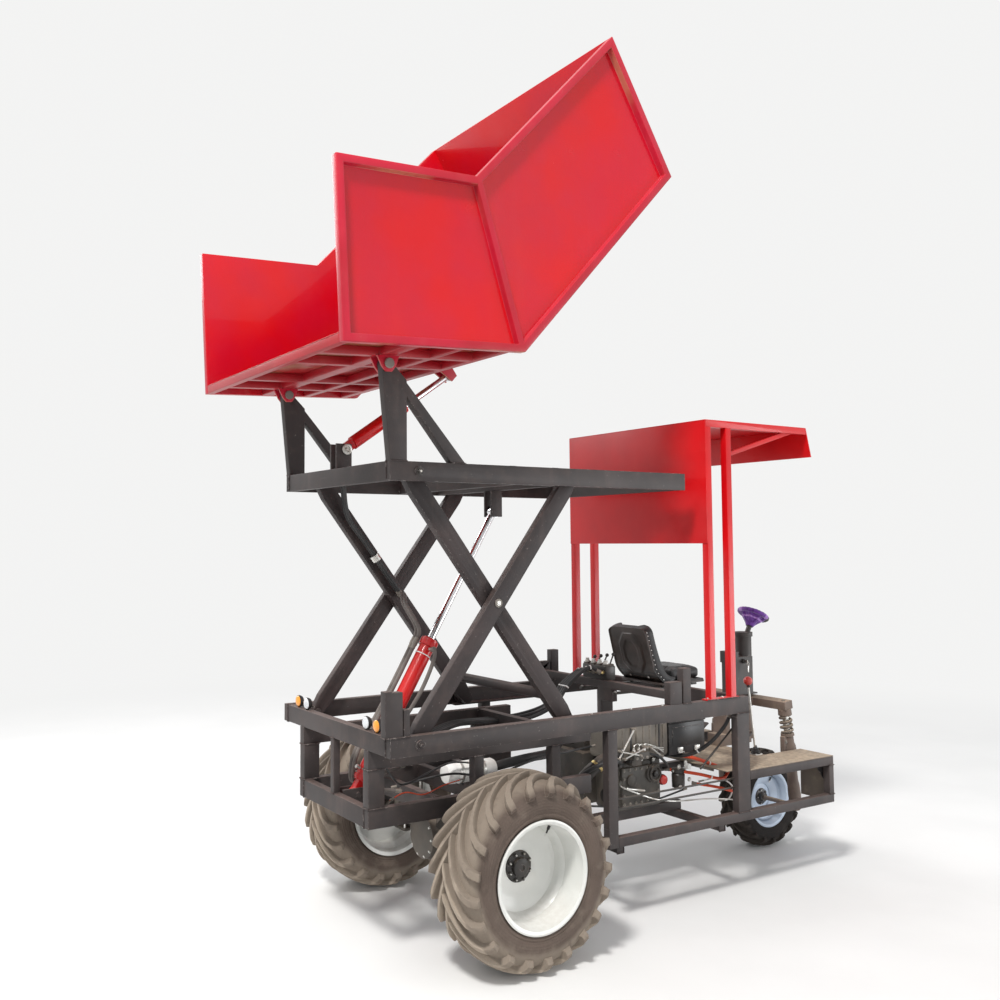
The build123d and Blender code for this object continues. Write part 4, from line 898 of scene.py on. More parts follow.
for sign in (-1, 1):
    foot = vec(1.36, sign * 0.2, box("steering_head")[0].z)
    small.use(dusty_steel).box(*path(foot, (-0.05, -0.03, 0), (0.05, 0.03, 0.006)), 0.002)
    small.use(column_paint).rod(*path(foot, (-0.02, -0.034, 0.035), (-0.02, 0.034, 0.035)), 0.011, 16)
    for side in (-0.024, 0.024):
        small.box(*path(foot, (-0.036, side - 0.003, 0.004), (0.0, side + 0.003, 0.052)), 0.002)
    small.tube(path(foot, (-0.02, 0, 0.035), (0.03, 0, 0.055), (0.065, 0, 0.1)), 0.008, 10, 4)
    tread = path(foot, (0.03, -0.036, 0.094), (0.1, 0.036, 0.106))
    small.box(*tread, 0.004, Matrix.Rotation(radians(-32), 4, "Y"))
small.done()

nose = Piece("nose_gussets", "chassis", "frame_paint", black_panel)
NOSE_X, NOSE_TOP, GUSSET = box("nose_plates")[1].x - 0.008, 0.742, 0.13
for sign in (-1, 1):
    nose.skin([nose.ring((
        (NOSE_X, sign * y, NOSE_TOP), (NOSE_X - GUSSET, sign * y, NOSE_TOP),
        (NOSE_X - GUSSET * 0.9, sign * y, NOSE_TOP - 0.024),
        (NOSE_X - 0.024, sign * y, NOSE_TOP - GUSSET * 1.15), (NOSE_X, sign * y, NOSE_TOP - GUSSET * 1.25),
    )) for y in (0.585, 0.591)])
nose.done()

# ---------------------------------------------------------------- seat

SEAT_HALF = half_size("seat_shell").y - 0.002
# The back's rear face and the front of its pad, as (x, z) from its foot up to its top
BACK_REAR = (
    (0.694, 1.243), (0.64, 1.276), (0.588, 1.334), (0.562, 1.41),
    (0.539, 1.49), (0.518, 1.565), (0.507, 1.61),
)
BACK_FRONT = (
    (0.752, 1.272), (0.694, 1.292), (0.642, 1.345), (0.612, 1.415),
    (0.586, 1.49), (0.562, 1.57), (0.549, 1.627),
)
BACK_HEIGHT, CORNER = 0.4, 0.055
BADGE_MIDDLE, BADGE_HALF = 0.56, Vector((0.108, 0.128))


def on_line(line, share):
    """A place on a smooth (x, z) line, from its start to its end."""
    points = smooth_line([(x, 0, z) for x, z in line], 12)
    place = share * (len(points) - 1)
    k = min(int(place), len(points) - 2)
    return points[k].lerp(points[k + 1], place - k)


def ease(value, low, high):
    """A smooth rise from 0 at low to 1 at high."""
    share = min(max((value - low) / (high - low), 0), 1)
    return share * share * (3 - 2 * share)


def back_half(share):
    """Half the back's width at a height, with rounded corners at its top."""
    left = CORNER - min((1 - share) * BACK_HEIGHT, CORNER)
    return SEAT_HALF - CORNER + (CORNER ** 2 - left ** 2) ** 0.5 - 0.01 * share


def pressed(across, share):
    """How far the moulded rear face stands out: a rolled edge and a stepped eight-sided badge."""
    up = abs(share - BADGE_MIDDLE) * BACK_HEIGHT / BADGE_HALF.y
    side = abs(across) / BADGE_HALF.x
    reach = max(up, side, (up + side) / 1.42)
    edge = ease(abs(across), back_half(share) - 0.02, back_half(share) - 0.008) * (1 - ease(share, 0.9, 1))
    return 0.007 * (1 - ease(reach, 0.9, 1.0)) - 0.005 * (1 - ease(reach, 0.52, 0.62)) + 0.006 * edge


shell = Piece("seat_back_and_pan", "chassis", "seat_plastic", seat_plastic)
REAR_COLUMNS, PAD_COLUMNS, SIDE_POINTS, BACK_ROWS = 56, 26, 5, 60
grid = []
for r in range(BACK_ROWS + 1):
    share = r / BACK_ROWS
    rear, front = on_line(BACK_REAR, share), on_line(BACK_FRONT, share)
    out = (rear - front).normalized()
    half = back_half(share)
    section = []
    for c in range(REAR_COLUMNS + 1):
        across = (1 - 2 * c / REAR_COLUMNS) * (half - 0.006)
        section.append(rear + out * (pressed(across, share) - 0.008) + vec(0, across, 0))
    for sign in (-1, 1):
        flank = [
            rear.lerp(front, 0.22 + 0.7 * n / SIDE_POINTS) - out * 0.026 * ease(n / SIDE_POINTS, 0, 1)
            + vec(0, sign * (half - 0.006 + 0.006 * sin(pi * n / SIDE_POINTS)), 0)
            for n in range(SIDE_POINTS + 1)
        ]
        section += flank[::-sign]
        if sign < 0:
            for c in range(1, PAD_COLUMNS):
                across = (2 * c / PAD_COLUMNS - 1) * (half - 0.008)
                crown = 0.008 + 0.024 * ease(abs(across) / half, 0.5, 0.92)
                crown -= 0.006 * max(0, 1 - abs(abs(across) - 0.075) / 0.01) ** 2
                section.append(front - out * (crown - 0.006 * ease(share, 0.8, 1)) + vec(0, across, 0))
    grid.append(shell.ring(section))
shell.use(seat_cover).skin(grid)
# The moulded rear face is bare plastic
rear_line = [on_line(BACK_REAR, k / 12) for k in range(13)]
for face in shell.mesh.faces:
    place = face.calc_center_median()
    rear = min(rear_line, key=lambda p: abs(p.z - place.z))
    if place.x < rear.x + 0.016 and abs(place.y) < SEAT_HALF - 0.01:
        face.material_index = 0
PAN_BOTTOM, PAN_TOP = 1.241, 1.256
shell.use(seat_plastic).box((0.64, -SEAT_HALF, PAN_BOTTOM), (1.032, SEAT_HALF, PAN_TOP), 0.01)
lip = [(0.66, -SEAT_HALF + 0.009), (0.99, -SEAT_HALF + 0.009), (1.02, -SEAT_HALF + 0.024), (1.026, -0.12)]
lip += [(x, -y) for x, y in reversed(lip)]
shell.use(seat_cover).tube([(x, y, PAN_TOP + 0.001) for x, y in lip], 0.0085, 10, 5)
RIVET = ((0, 0.0028), (0.0036, 0.0028), (0.0044, 0.0014))
for sign in (-1, 1):
    for k in range(12):
        share = 0.16 + 0.068 * k
        spot = on_line(BACK_REAR, share).lerp(on_line(BACK_FRONT, share), 0.3)
        spot += vec(0, sign * (back_half(share) - 0.003), 0)
        shell.use(white_plastic).lathe(RIVET, spot, (0, sign, 0), 10)
    shell.use(zinc).bolt(on_line(BACK_REAR, 0.2) + vec(-0.002, sign * 0.085, 0), (-0.8, 0, -0.6), 0.005)
    shell.use(oily_metal).box(*mirrored(sign, (0.252, 0.142, 1.212), (0.905, 0.178, 1.226)), 0.003)
    for x in (0.7, 0.93):
        shell.box(*mirrored(sign, (x, 0.148, 1.224), (x + 0.05, 0.172, 1.243)), 0.002)
shell.done("seat_shell")


def simulate(obj, pressure):
    """Let the piece inflate and settle as cloth over frames 1 to 20, then keep that shape."""
    cloth = obj.modifiers.new("cloth", "CLOTH")
    for setting, value in (
        ("quality", 6), ("mass", 0.4), ("tension_stiffness", 40), ("compression_stiffness", 30),
        ("bending_stiffness", 4), ("use_pressure", True), ("uniform_pressure_force", pressure),
    ):
        setattr(cloth.settings, setting, value)
    cloth.settings.effector_weights.gravity = 0
    cloth.collision_settings.use_self_collision = False
    for frame_number in range(1, 21):
        bpy.context.scene.frame_set(frame_number)
        bpy.context.view_layer.update()
    bpy.context.view_layer.objects.active = obj
    bpy.ops.object.modifier_apply(modifier=cloth.name)


cushion_low, cushion_high = box("seat_cushion")
cushion = Piece("seat_cushion_pad", None, "seat_cover", seat_cover)
cushion.box(cushion_low + vec(0.012, 0.012, 0.004), cushion_high - vec(0.012, 0.012, 0.01), 0.018)
pad = cushion.done(shade=radians(180))
remesh = pad.modifiers.new("remesh", "REMESH")
remesh.mode = "VOXEL"
remesh.voxel_size = 0.006
bpy.context.view_layer.objects.active = pad
bpy.ops.object.modifier_apply(modifier=remesh.name)
simulate(pad, 4.0)
# Where the seams run that are sewn along the cushion, and half a seam's width
SEAMS, SEAM_HALF = (-0.09, 0.0, 0.09), 0.01
for vertex in pad.data.vertices:
    place = vertex.co
    high = (place.z - cushion_low.z) / (cushion_high.z - cushion_low.z)
    for seam in SEAMS:
        near = max(0, 1 - abs(place.y - seam) / SEAM_HALF)
        place.z -= 0.005 * near ** 2 * (high > 0.6)
    place.z += 0.002 * noise.noise(place * 18) * (high > 0.5)
    for axis in range(3):
        lowest = cushion_low[axis] - 0.004 * (axis != 2)
        place[axis] = min(max(place[axis], lowest), cushion_high[axis] + 0.004)
smooth = pad.modifiers.new("subdivision", "SUBSURF")
smooth.levels = smooth.render_levels = 1
bpy.ops.object.modifier_apply(modifier=smooth.name)
for face in pad.data.polygons:
    face.use_smooth = True
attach(pad, "chassis")
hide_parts("seat_cushion")

# ---------------------------------------------------------------- lamps

lamps = Piece("rear_lamp_units", "chassis", "lamp_lens", black_plastic)
for low, high in islands("rear_lamps"):
    centre = (low + high) / 2
    radius = min(high.y - low.y, high.z - low.z) / 2
    back = vec(high.x, centre.y, centre.z)
    lamps.use(black_plastic).lathe((
        (0.0, radius * 0.72), (0.006, radius * 0.86), (0.016, radius * 0.99), (0.024, radius * 0.99),
        (0.026, radius * 0.93), (0.022, radius * 0.9),
    ), back, BACK, 32)
    lamps.use(amber_lens if abs(centre.y) > 0.45 else clear_lens).lathe((
        (0.02, radius * 0.9), (0.027, radius * 0.9), (0.032, radius * 0.8), (0.036, radius * 0.55),
        (0.038, radius * 0.25), (0.0385, radius * 0.02),
    ), back, BACK, 32)
lamps.done("rear_lamps")

# ---------------------------------------------------------------- gear lever

lever_low, lever_high = box("gear_lever")
LEVER_LINE, KNOB = -0.35, 0.03
knob = vec(lever_low.x + KNOB, LEVER_LINE, lever_high.z - KNOB)
foot = vec(lever_high.x - 0.035, LEVER_LINE, lever_low.z)
toward = (knob - foot).normalized()
lever = Piece("gear_lever_and_knob", "chassis", "bright_pin", zinc)
lever.box(foot + vec(-0.034, -0.034, 0), foot + vec(0.034, 0.034, 0.005), 0.002)
for a in (-0.025, 0.025):
    for b in (-0.025, 0.025):
        lever.bolt(foot + vec(a, b, 0.005), UP, 0.004)
lever.use(black_rubber).lathe((
    (0.003, 0.03), (0.01, 0.031), (0.016, 0.024), (0.022, 0.027), (0.03, 0.02), (0.036, 0.022),
    (0.046, 0.013), (0.06, 0.0085),
), foot, UP, 24)
lever.use(zinc).rod(foot + toward * 0.03, knob - toward * 0.026, 0.0065, 14)
lever.use(black_plastic).lathe(
    ((-0.044, 0.011), (-0.04, 0.014), (-0.028, 0.014), (-0.024, 0.009)), knob, toward, 16
)
lever.use(knob_red).ball(knob, toward, KNOB, 20, 32)
lever.done("gear_lever")

# ---------------------------------------------------------------- engine bay

on_engine = corners("engine_block")
engine_x = box("engine_block")[0].x
engine = Piece("engine_casting", "chassis", "cast_metal", cast_metal)
engine.box(on_engine("lll", 0.02, 0.03, 0), on_engine("lhh", 0.33, -0.02, -0.12), 0.03)
engine.box(on_engine("llh", 0.06, 0.06, -0.14), on_engine("lhh", 0.27, -0.08, -0.02), 0.02)
for k in range(9):
    fin = 0.345 + k * 0.026
    engine.box(on_engine("lll", fin, 0.05, 0.07), on_engine("lhh", fin + 0.01, -0.06, -0.16), 0.003)
engine.box(on_engine("lll", 0.34, 0.1, 0.12), on_engine("hhh", -0.01, -0.11, -0.21), 0.015)
flywheel = on_engine("lhl", 0.17, -0.045, 0.19)
engine.use(oily_metal).lathe((
    (0.0, 0.06), (0.0, 0.15), (0.03, 0.155), (0.045, 0.15), (0.045, 0.06), (0.04, 0.03),
), flywheel, LEFT, 48)
for groove in (0.036, 0.05, 0.064):
    engine.lathe((
        (groove, 0.07), (groove + 0.004, 0.078), (groove + 0.007, 0.066), (groove + 0.013, 0.078),
    ), flywheel, LEFT, 40)
stack = on_engine("hlh", -0.1, 0.12, -0.17)
engine.tube(path(stack, (0, 0, 0), (0, 0, 0.09), (-0.05, -0.01, 0.13), (-0.16, -0.02, 0.14)), 0.024, 14)
engine.use(black_rubber).lathe(
    ((0, 0.036), (0.012, 0.038), (0.026, 0.036), (0.03, 0.02)), on_engine("llh", 0.12, 0.14, -0.03), UP, 24
)
for a in (0.09, 0.24):
    for b in (0.09, 0.28):
        engine.use(zinc).bolt(on_engine("llh", a, b, -0.022), UP, 0.009)
engine.use(oily_metal).tube([
    (engine_x + 0.28, -0.1, 0.86), (engine_x + 0.1, -0.24, 0.86), (engine_x - 0.06, -0.28, 0.83),
    (engine_x - 0.13, -0.22, 0.74), (engine_x - 0.16, -0.2, 0.66),
], 0.038, 18, 8, lambda t: 1 + 0.06 * abs(sin(t * 60)))
clip = (engine_x - 0.075, -0.283, 0.822)
engine.use(brass).lathe(((0, 0.044), (0.016, 0.044)), clip, (-0.7, 0.2, -0.7), 24)
engine.done("engine_block")

on_gear = corners("gearbox")
gear_low, gear_high = box("gearbox")
gearbox = Piece("gearbox_casting", "chassis", "cast_metal", gear_casting)
gearbox.box(on_gear("lll", 0.01, 0.035, 0), on_gear("hhh", -0.01, 0, -0.02), 0.022)
COVER_FACE = 0.012
cover_low = on_gear("lll", 0.035, COVER_FACE, 0.035)
cover_high = on_gear("hlh", -0.045, COVER_FACE + 0.03, -0.05)
gearbox.box(cover_low, cover_high, 0.008)
spread = cover_high - cover_low - vec(0.032, 0, 0.028)
for across, up in (
    *((k / 6, end) for k in range(7) for end in (0, 1)), *((end, k / 4) for k in (1, 2, 3) for end in (0, 1)),
):
    place = cover_low + vec(0.016 + across * spread.x, 0, 0.014 + up * spread.z)
    gearbox.use(bolt_metal).bolt(place, RIGHT, 0.007)
boss = on_gear("hlh", -0.105, COVER_FACE, -0.105)
gearbox.use(cast_metal).lathe(
    ((0, 0.06), (0.01, 0.058), (0.014, 0.05), (0.028, 0.048), (0.03, 0.04), (0.018, 0.036)), boss, RIGHT, 36
)
gearbox.use(oily_metal).lathe(((0.012, 0.022), (0.034, 0.02), (0.037, 0.015)), boss, RIGHT, 24)
gearbox.use(cast_metal).lathe(
    ((0, 0.04), (0.012, 0.038), (0.02, 0.02)), on_gear("llh", 0.11, COVER_FACE, -0.13), RIGHT, 28
)
cap = on_gear("hll", -0.01, COVER_FACE + 0.03, 0.16)
gearbox.use(oily_metal).lathe(((0, 0.034), (0.02, 0.034)), cap, RIGHT, 24)
gearbox.use(knob_red).lathe(((0.02, 0.031), (0.034, 0.029), (0.038, 0.022)), cap, RIGHT, 24)
gearbox.use(cast_metal)
for x in (0.06, 0.14, 0.22, 0.3):
    gearbox.box(on_gear("llh", x, 0.03, -0.05), on_gear("lhh", x + 0.012, -0.02, -0.006), 0.004)
for x, z, length in ((0.1, -0.016, 0.2), (0.17, 0.002, 0.16), (0.27, -0.012, 0.14)):
    start = on_gear("llh", x, -0.008, z)
    gearbox.use(zinc).rod(start, start + vec(length, 0.01, 0.028), 0.0055, 10)
    gearbox.lathe(((-0.012, 0.011), (0.012, 0.011)), start, LEFT, 16)
    gearbox.bolt(start - vec(0, 0.012, 0), RIGHT, 0.007)
gearbox.rod(*path(gear_low, (0.04, -0.02, 0.66 - gear_low.z), (0.19, -0.02, 0.63 - gear_low.z)), 0.008, 12)
gearbox.use(oily_metal).rod((gear_low.x - 0.03, -0.2, 0.6), (gear_low.x + 0.02, -0.2, 0.6), 0.045, 24)
gearbox.done("gearbox")

# The injection pump along the gearbox's top edge, its pipes and the linkage in front of the tank
PUMP_LINE = -0.355
pump_low, pump_high = vec(0.205, -0.385, 0.838), vec(0.335, -0.325, 0.888)
pump = Piece("injection_pump_and_pipes", "chassis", "cast_metal", cast_metal)
pump.box(pump_low, pump_high, 0.008)
pump.box(
    (pump_low.x + 0.02, -0.345, gear_high.z - 0.03),
    (pump_high.x - 0.03, gear_low.y + 0.01, pump_low.z + 0.01), 0.006,
)
for k in range(3):
    foot = vec(pump_low.x + 0.022 + 0.043 * k, PUMP_LINE, pump_high.z - 0.002)
    pump.use(zinc).lathe(((0, 0.011), (0.012, 0.011), (0.016, 0.007), (0.024, 0.007)), foot, UP, 6)
    pump.tube([
        *path(foot, (0, 0, 0.018), (0.004, -0.004, 0.04), (0.045, 0.006, 0.044 - 0.006 * k)),
        foot + vec(0.11, 0.012, 0.022 - 0.006 * k), (0.5, -0.334, 0.88 - 0.013 * k),
    ], 0.0038, 8)
    pump.use(bolt_metal).bolt((pump_low.x + 0.024 + 0.041 * k, pump_low.y, 0.852), RIGHT, 0.0065)
pump.use(brass).lathe(((0, 0.01), (0.014, 0.01)), (pump_high.x, PUMP_LINE, 0.866), AHEAD, 6)
for start, end in (
    ((0.105, -0.372, 0.905), (0.248, -0.392, 0.87)), ((0.128, -0.38, 0.858), (0.296, -0.395, 0.915)),
    ((0.229, -0.362, 1.028), (0.096, -0.366, 0.858)), ((0.352, -0.372, 0.905), (0.47, -0.35, 0.835)),
):
    pump.use(zinc).rod(start, end, 0.005, 10)
    for place in (start, end):
        pump.use(bolt_metal).rod(*path(Vector(place), (0, -0.012, 0), (0, 0.034, 0)), 0.0085, 12)
pump.use(oily_metal).box((0.092, -0.352, 0.845), (0.15, -0.34, 0.915), 0.004)
pump.box((0.118, -0.345, 0.8), (0.142, -0.3, 0.87), 0.004)
for material, radius, sides, points in (
    (black_rubber, 0.0085, 10, (
        (pump_high.x + 0.01, PUMP_LINE, 0.866), (0.4, -0.385, 0.85), (0.47, -0.372, 0.805),
        (0.515, -0.352, 0.765), (0.53, -0.3, 0.745),
    )),
    (black_rubber, 0.0135, 12, (
        (0.165, -0.318, 0.812), (0.075, -0.372, 0.85), (-0.02, -0.352, 0.842), (-0.09, -0.3, 0.8),
        (-0.12, -0.24, 0.74),
    )),
    (zinc, 0.0048, 8, (
        (0.17, -0.296, 0.705), (0.125, -0.352, 0.688), (0.205, -0.388, 0.65), (0.33, -0.388, 0.602),
        (0.43, -0.386, 0.574), (0.56, -0.388, 0.552), (0.74, -0.42, 0.546), (0.86, -0.5, 0.55),
        (0.9, -0.602, 0.555),
    )),
):
    pump.use(material).tube(points, radius, sides)
pump.done()

on_tank = corners("fuel_tank")
tank = Piece("fuel_tank_shell", "chassis", "tank_paint", tank_paint)
tank.box(*box("fuel_tank"), 0.028)
for k in range(7):
    x = 0.05 + k * (2 * half_size("fuel_tank").x - 0.1) / 6
    tank.box(on_tank("lll", x - 0.01, -0.006, 0.03), on_tank("lhh", x + 0.01, 0.004, -0.035), 0.006)
tank.box(on_tank("llh", 0.004, -0.004, -0.03), on_tank("hhh", -0.004, 0.004, -0.018), 0.003)
tank.use(black_plastic)
for x in (0.1, 0.34):
    tank.box(on_tank("lll", x, -0.008, -0.01), on_tank("lhh", x + 0.014, 0.006, 0.003), 0.002)
cap = on_tank("llh", 0.22, half_size("fuel_tank").y, -0.004)
tank.lathe(((0, 0.038), (0.01, 0.04), (0.022, 0.038), (0.026, 0.026)), cap, UP, 28)
tank.done("fuel_tank")

on_case = corners("battery_box")
case = Piece("battery_box_shell", "chassis", "tank_paint", black_panel)
case.box(on_case("lll", 0, 0, 0), on_case("hhh", 0, 0, -0.024), 0.004)
case.box(on_case("llh", -0.006, -0.006, -0.022), on_case("hhh", 0.006, 0.006, 0), 0.004)
for x in (0.07, 0.22):
    hinge = on_case("lll", x, -0.01, 0.012)
    case.use(zinc).rod(hinge, hinge + vec(0.05, 0, 0), 0.006, 12)
    case.box(*path(hinge, (0.002, 0.004, 0.002), (0.048, 0.011, 0.03)), 0.001)
case.use(black_panel).box(on_case("lll", 0.03, -0.004, 0.05), on_case("hlh", -0.03, 0.004, -0.05), 0.003)
case.done("battery_box")

size = half_size("air_cleaner")
radius, length = size.z, 2 * size.x
filter_start, filter_end = path(middle("air_cleaner"), (-size.x, 0, 0), (size.x, 0, 0))
cleaner = Piece("air_cleaner_shell", "chassis", "white_plastic", white_plastic)
cleaner.lathe((
    (0.0, radius * 0.55), (0.004, radius * 0.86), (0.02, radius * 0.97), (0.06, radius),
    (0.066, radius * 0.95), (0.075, radius * 0.95), (0.08, radius), (length * 0.62, radius),
    (length * 0.64, radius * 0.94),
    (length - 0.02, radius * 0.93), (length - 0.004, radius * 0.8), (length, radius * 0.45),
), filter_start, AHEAD, 40)
for along in (0.09, 0.24):
    strap = filter_start + vec(along, 0, 0)
    cleaner.use(zinc).band(strap, AHEAD, 0, 0.014, radius + 0.001, radius + 0.003, 40)
    foot = path(strap, (0, -radius * 0.8, -radius), (0.014, radius * 0.8, 0.008 - radius))
    cleaner.use(black_panel).box(*foot, 0.002)
cleaner.use(black_rubber).tube([
    *path(filter_end, (-0.01, 0, 0), (0.09, 0, 0.01), (0.24, -0.02, 0.03), (0.46, 0.03, 0.03)),
    (filter_end.x + 0.66, 0.02, filter_end.z + 0.05), (engine_x + 0.02, 0.08, filter_end.z + 0.03),
], 0.026, 14, 10, lambda t: 1 + 0.07 * abs(sin(t * 150)))
cleaner.done("air_cleaner")

on_valves = corners("valve_block")
VALVES_AT = [0.035 + 0.06 * k for k in range(4)]
valves = Piece("valve_block_body", "chassis", "cast_metal", oily_metal)
valves.box(on_valves("lll", 0.008, 0.01, 0), on_valves("hhh", -0.006, -0.01, -0.03), 0.006)
for k, y in enumerate(VALVES_AT):
    valves.use(cast_metal).box(
        on_valves("lll", 0.012, y - 0.02, 0.01), on_valves("hlh", -0.012, y + 0.02, -0.018), 0.005
    )
    valves.use(zinc).lathe(
        ((0, 0.016), (0.012, 0.016), (0.014, 0.012), (0.026, 0.012)), on_valves("llh", 0.03, y, -0.02), UP, 18
    )
    valves.use(brass).lathe(
        ((0, 0.011), (0.014, 0.011), (0.016, 0.008), (0.03, 0.008)), on_valves("lll", 0.01, y, 0.05), BACK, 6
    )
    top = on_valves("hlh", -0.03, y, -0.02)
    reach = top + vec(0.03, 0, 0.06 - 0.01 * k)
    valves.use(oily_metal).rod(top, reach, 0.005, 10)
    valves.use(black_plastic).ball(reach, UP, 0.012, 10, 18)
valves.done("valve_block")

# ---------------------------------------------------------------- hoses

# The way that the lift cylinder points at rest, and the way out from its rear face
LIFT_ALONG = JOINT_AXIS["lift_rod_slide"]
LIFT_BACK = vec(-LIFT_ALONG.z, 0, LIFT_ALONG.x)


def on_lift(along, out, side=0.0):
    """A place beside the lift cylinder, from its base, out from its rear face and to its left."""
    return LIFT_BASE + LIFT_ALONG * along + LIFT_BACK * out + vec(0, side, 0)


LIFT_HOSE, PORT_HOSE = 0.0125, 0.0115


def hose(name, body, points, radius, material=black_rubber, ties=()):
    """A hose along given points, with fittings where it starts and ends and ties along it."""
    made = Piece(name, body, None, material)
    made.tube(points, radius, 10)
    line = smooth_line(points)
    shares = ((0, 0.9), (0, 1.3), (0.012, 1.3), (0.014, 1.12), (0.034, 1.12))
    fitting = [(along, radius * share) for along, share in shares]
    for end, after in ((line[0], line[2]), (line[-1], line[-3])):
        made.use(bolt_metal).lathe(fitting, end, after - end, 12)
    for share in ties:
        k = int(share * (len(line) - 2))
        made.use(white_plastic).band(
            line[k], line[k + 1] - line[k], -0.004, 0.004, radius * 1.05, radius * 1.2, 14
        )
    return made.done()


arm_along = (PLATFORM_PIN - CENTRE_PIN).normalized()
for k, side in enumerate((0.03, 0.06)):
    collar = on_lift(0.9, 0.066, side)
    clamped = vec(CENTRE_PIN.x, 0.44 + 0.025 * k, CENTRE_PIN.z)
    over = vec(PLATFORM_PIN.x + 0.1, clamped.y - 0.04, PLATFORM_PIN.z - 0.01)
    low = hose(f"lift_hose_lower_{k}", None, [
        (-1.1, 0.16 + side, 0.86), (-1.24, 0.13 + side, 0.845), (-1.4, 0.08 + side, 0.83),
        (-1.505, 0.03 + side, 0.85), on_lift(0.2, 0.085, side), on_lift(0.4, 0.068, side),
        on_lift(0.65, 0.064, side), collar,
    ], LIFT_HOSE, grey_rubber)
    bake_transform(low)
    span = hose(f"lift_hose_span_{k}", "lift_barrel", [
        collar, on_lift(0.99, 0.075, side + 0.02), collar.lerp(clamped, 0.45) + vec(-0.02, 0, 0.1),
        collar.lerp(clamped, 0.8) + vec(0.0, 0, 0.06), clamped,
    ], LIFT_HOSE, grey_rubber)
    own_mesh(span)
    up = hose(f"lift_hose_upper_{k}", None, [
        *(clamped + arm_along * along for along in (0.0, 0.18, 0.4, 0.62)), over,
        vec(PLATFORM_PIN.x + 0.03, clamped.y - 0.14, PLATFORM_PIN.z + 0.08),
        vec(TIP_BASE.x + 0.09, 0.2 + 0.03 * k, TIP_BASE.z - 0.06),
        vec(TIP_BASE.x + 0.04, 0.075, TIP_BASE.z - 0.05 + 0.03 * k),
    ], LIFT_HOSE)
    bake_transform(up)

clamp = Piece("arm_hose_clamp", "inner_arms", "bright_pin", zinc)
clamp_middle = vec(CENTRE_PIN.x, 0.452, CENTRE_PIN.z) + arm_along * 0.3
clamp.band(clamp_middle, arm_along, -0.02, 0.02, 0.028, 0.031, 20)
clamp.box(*path(clamp_middle, (-0.012, 0.02, -0.02), (0.012, 0.042, 0.02)), 0.003)
clamp.done()

port = Piece("lift_barrel_fittings", "lift_barrel", "red_paint", ram_paint)
port.lathe(
    ((-0.03, 0.046), (-0.03, 0.053), (0.0, 0.055), (0.012, 0.053), (0.014, 0.046)), on_lift(0.945, 0),
    LIFT_ALONG, 40, closed=True,
)
port.band(on_lift(0.088, 0), LIFT_ALONG, -0.006, 0.014, 0.046, 0.051, 40, closed=True)
port.use(zinc).rod(on_lift(0.9, 0, -0.04), on_lift(0.9, 0, -0.072), 0.013, 6)
port.rod(on_lift(0.13, 0.043), on_lift(0.13, 0.072), 0.013, 6)
port.use(white_plastic)
for along in (0.5, 0.86):
    port.band(on_lift(along, 0), LIFT_ALONG, -0.003, 0.003, 0.0455, 0.0475, 40, closed=True)
port.done()

drop = hose("lift_port_hose", None, [
    on_lift(0.9, 0, -0.072), on_lift(0.9, 0.01, -0.105), on_lift(0.84, 0.0, -0.135),
    on_lift(0.66, -0.02, -0.125), on_lift(0.42, -0.02, -0.09), on_lift(0.2, -0.03, -0.08),
    (-1.44, -0.09, 0.83), (-1.3, -0.12, 0.8),
], PORT_HOSE, grey_rubber)
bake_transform(drop)

for k, across in enumerate(VALVES_AT):
    port_place = on_valves("lll", 0, across, 0)
    hose(f"valve_hose_{k}", "chassis", [
        port_place + vec(-0.02, 0, 0.05),
        (port_place.x - 0.1, port_place.y * 0.6, port_place.z + 0.085 - 0.01 * k),
        (port_place.x - 0.22, 0.02 + 0.022 * k, port_place.z - 0.02),
        (port_place.x - 0.33, 0.03 + 0.024 * k, port_place.z - 0.14),
        (port_place.x - 0.5, 0.08 + 0.03 * k, 1.075 + 0.012 * (k % 2)), (-0.46, 0.16 + 0.03 * k, 1.065),
        (-0.72, 0.2 + 0.028 * k, 1.055), (-0.98, 0.2 + 0.026 * k, 0.97), (-1.1, 0.17 + 0.026 * k, 0.87),
    ], PORT_HOSE, black_rubber, (0.12, 0.28))

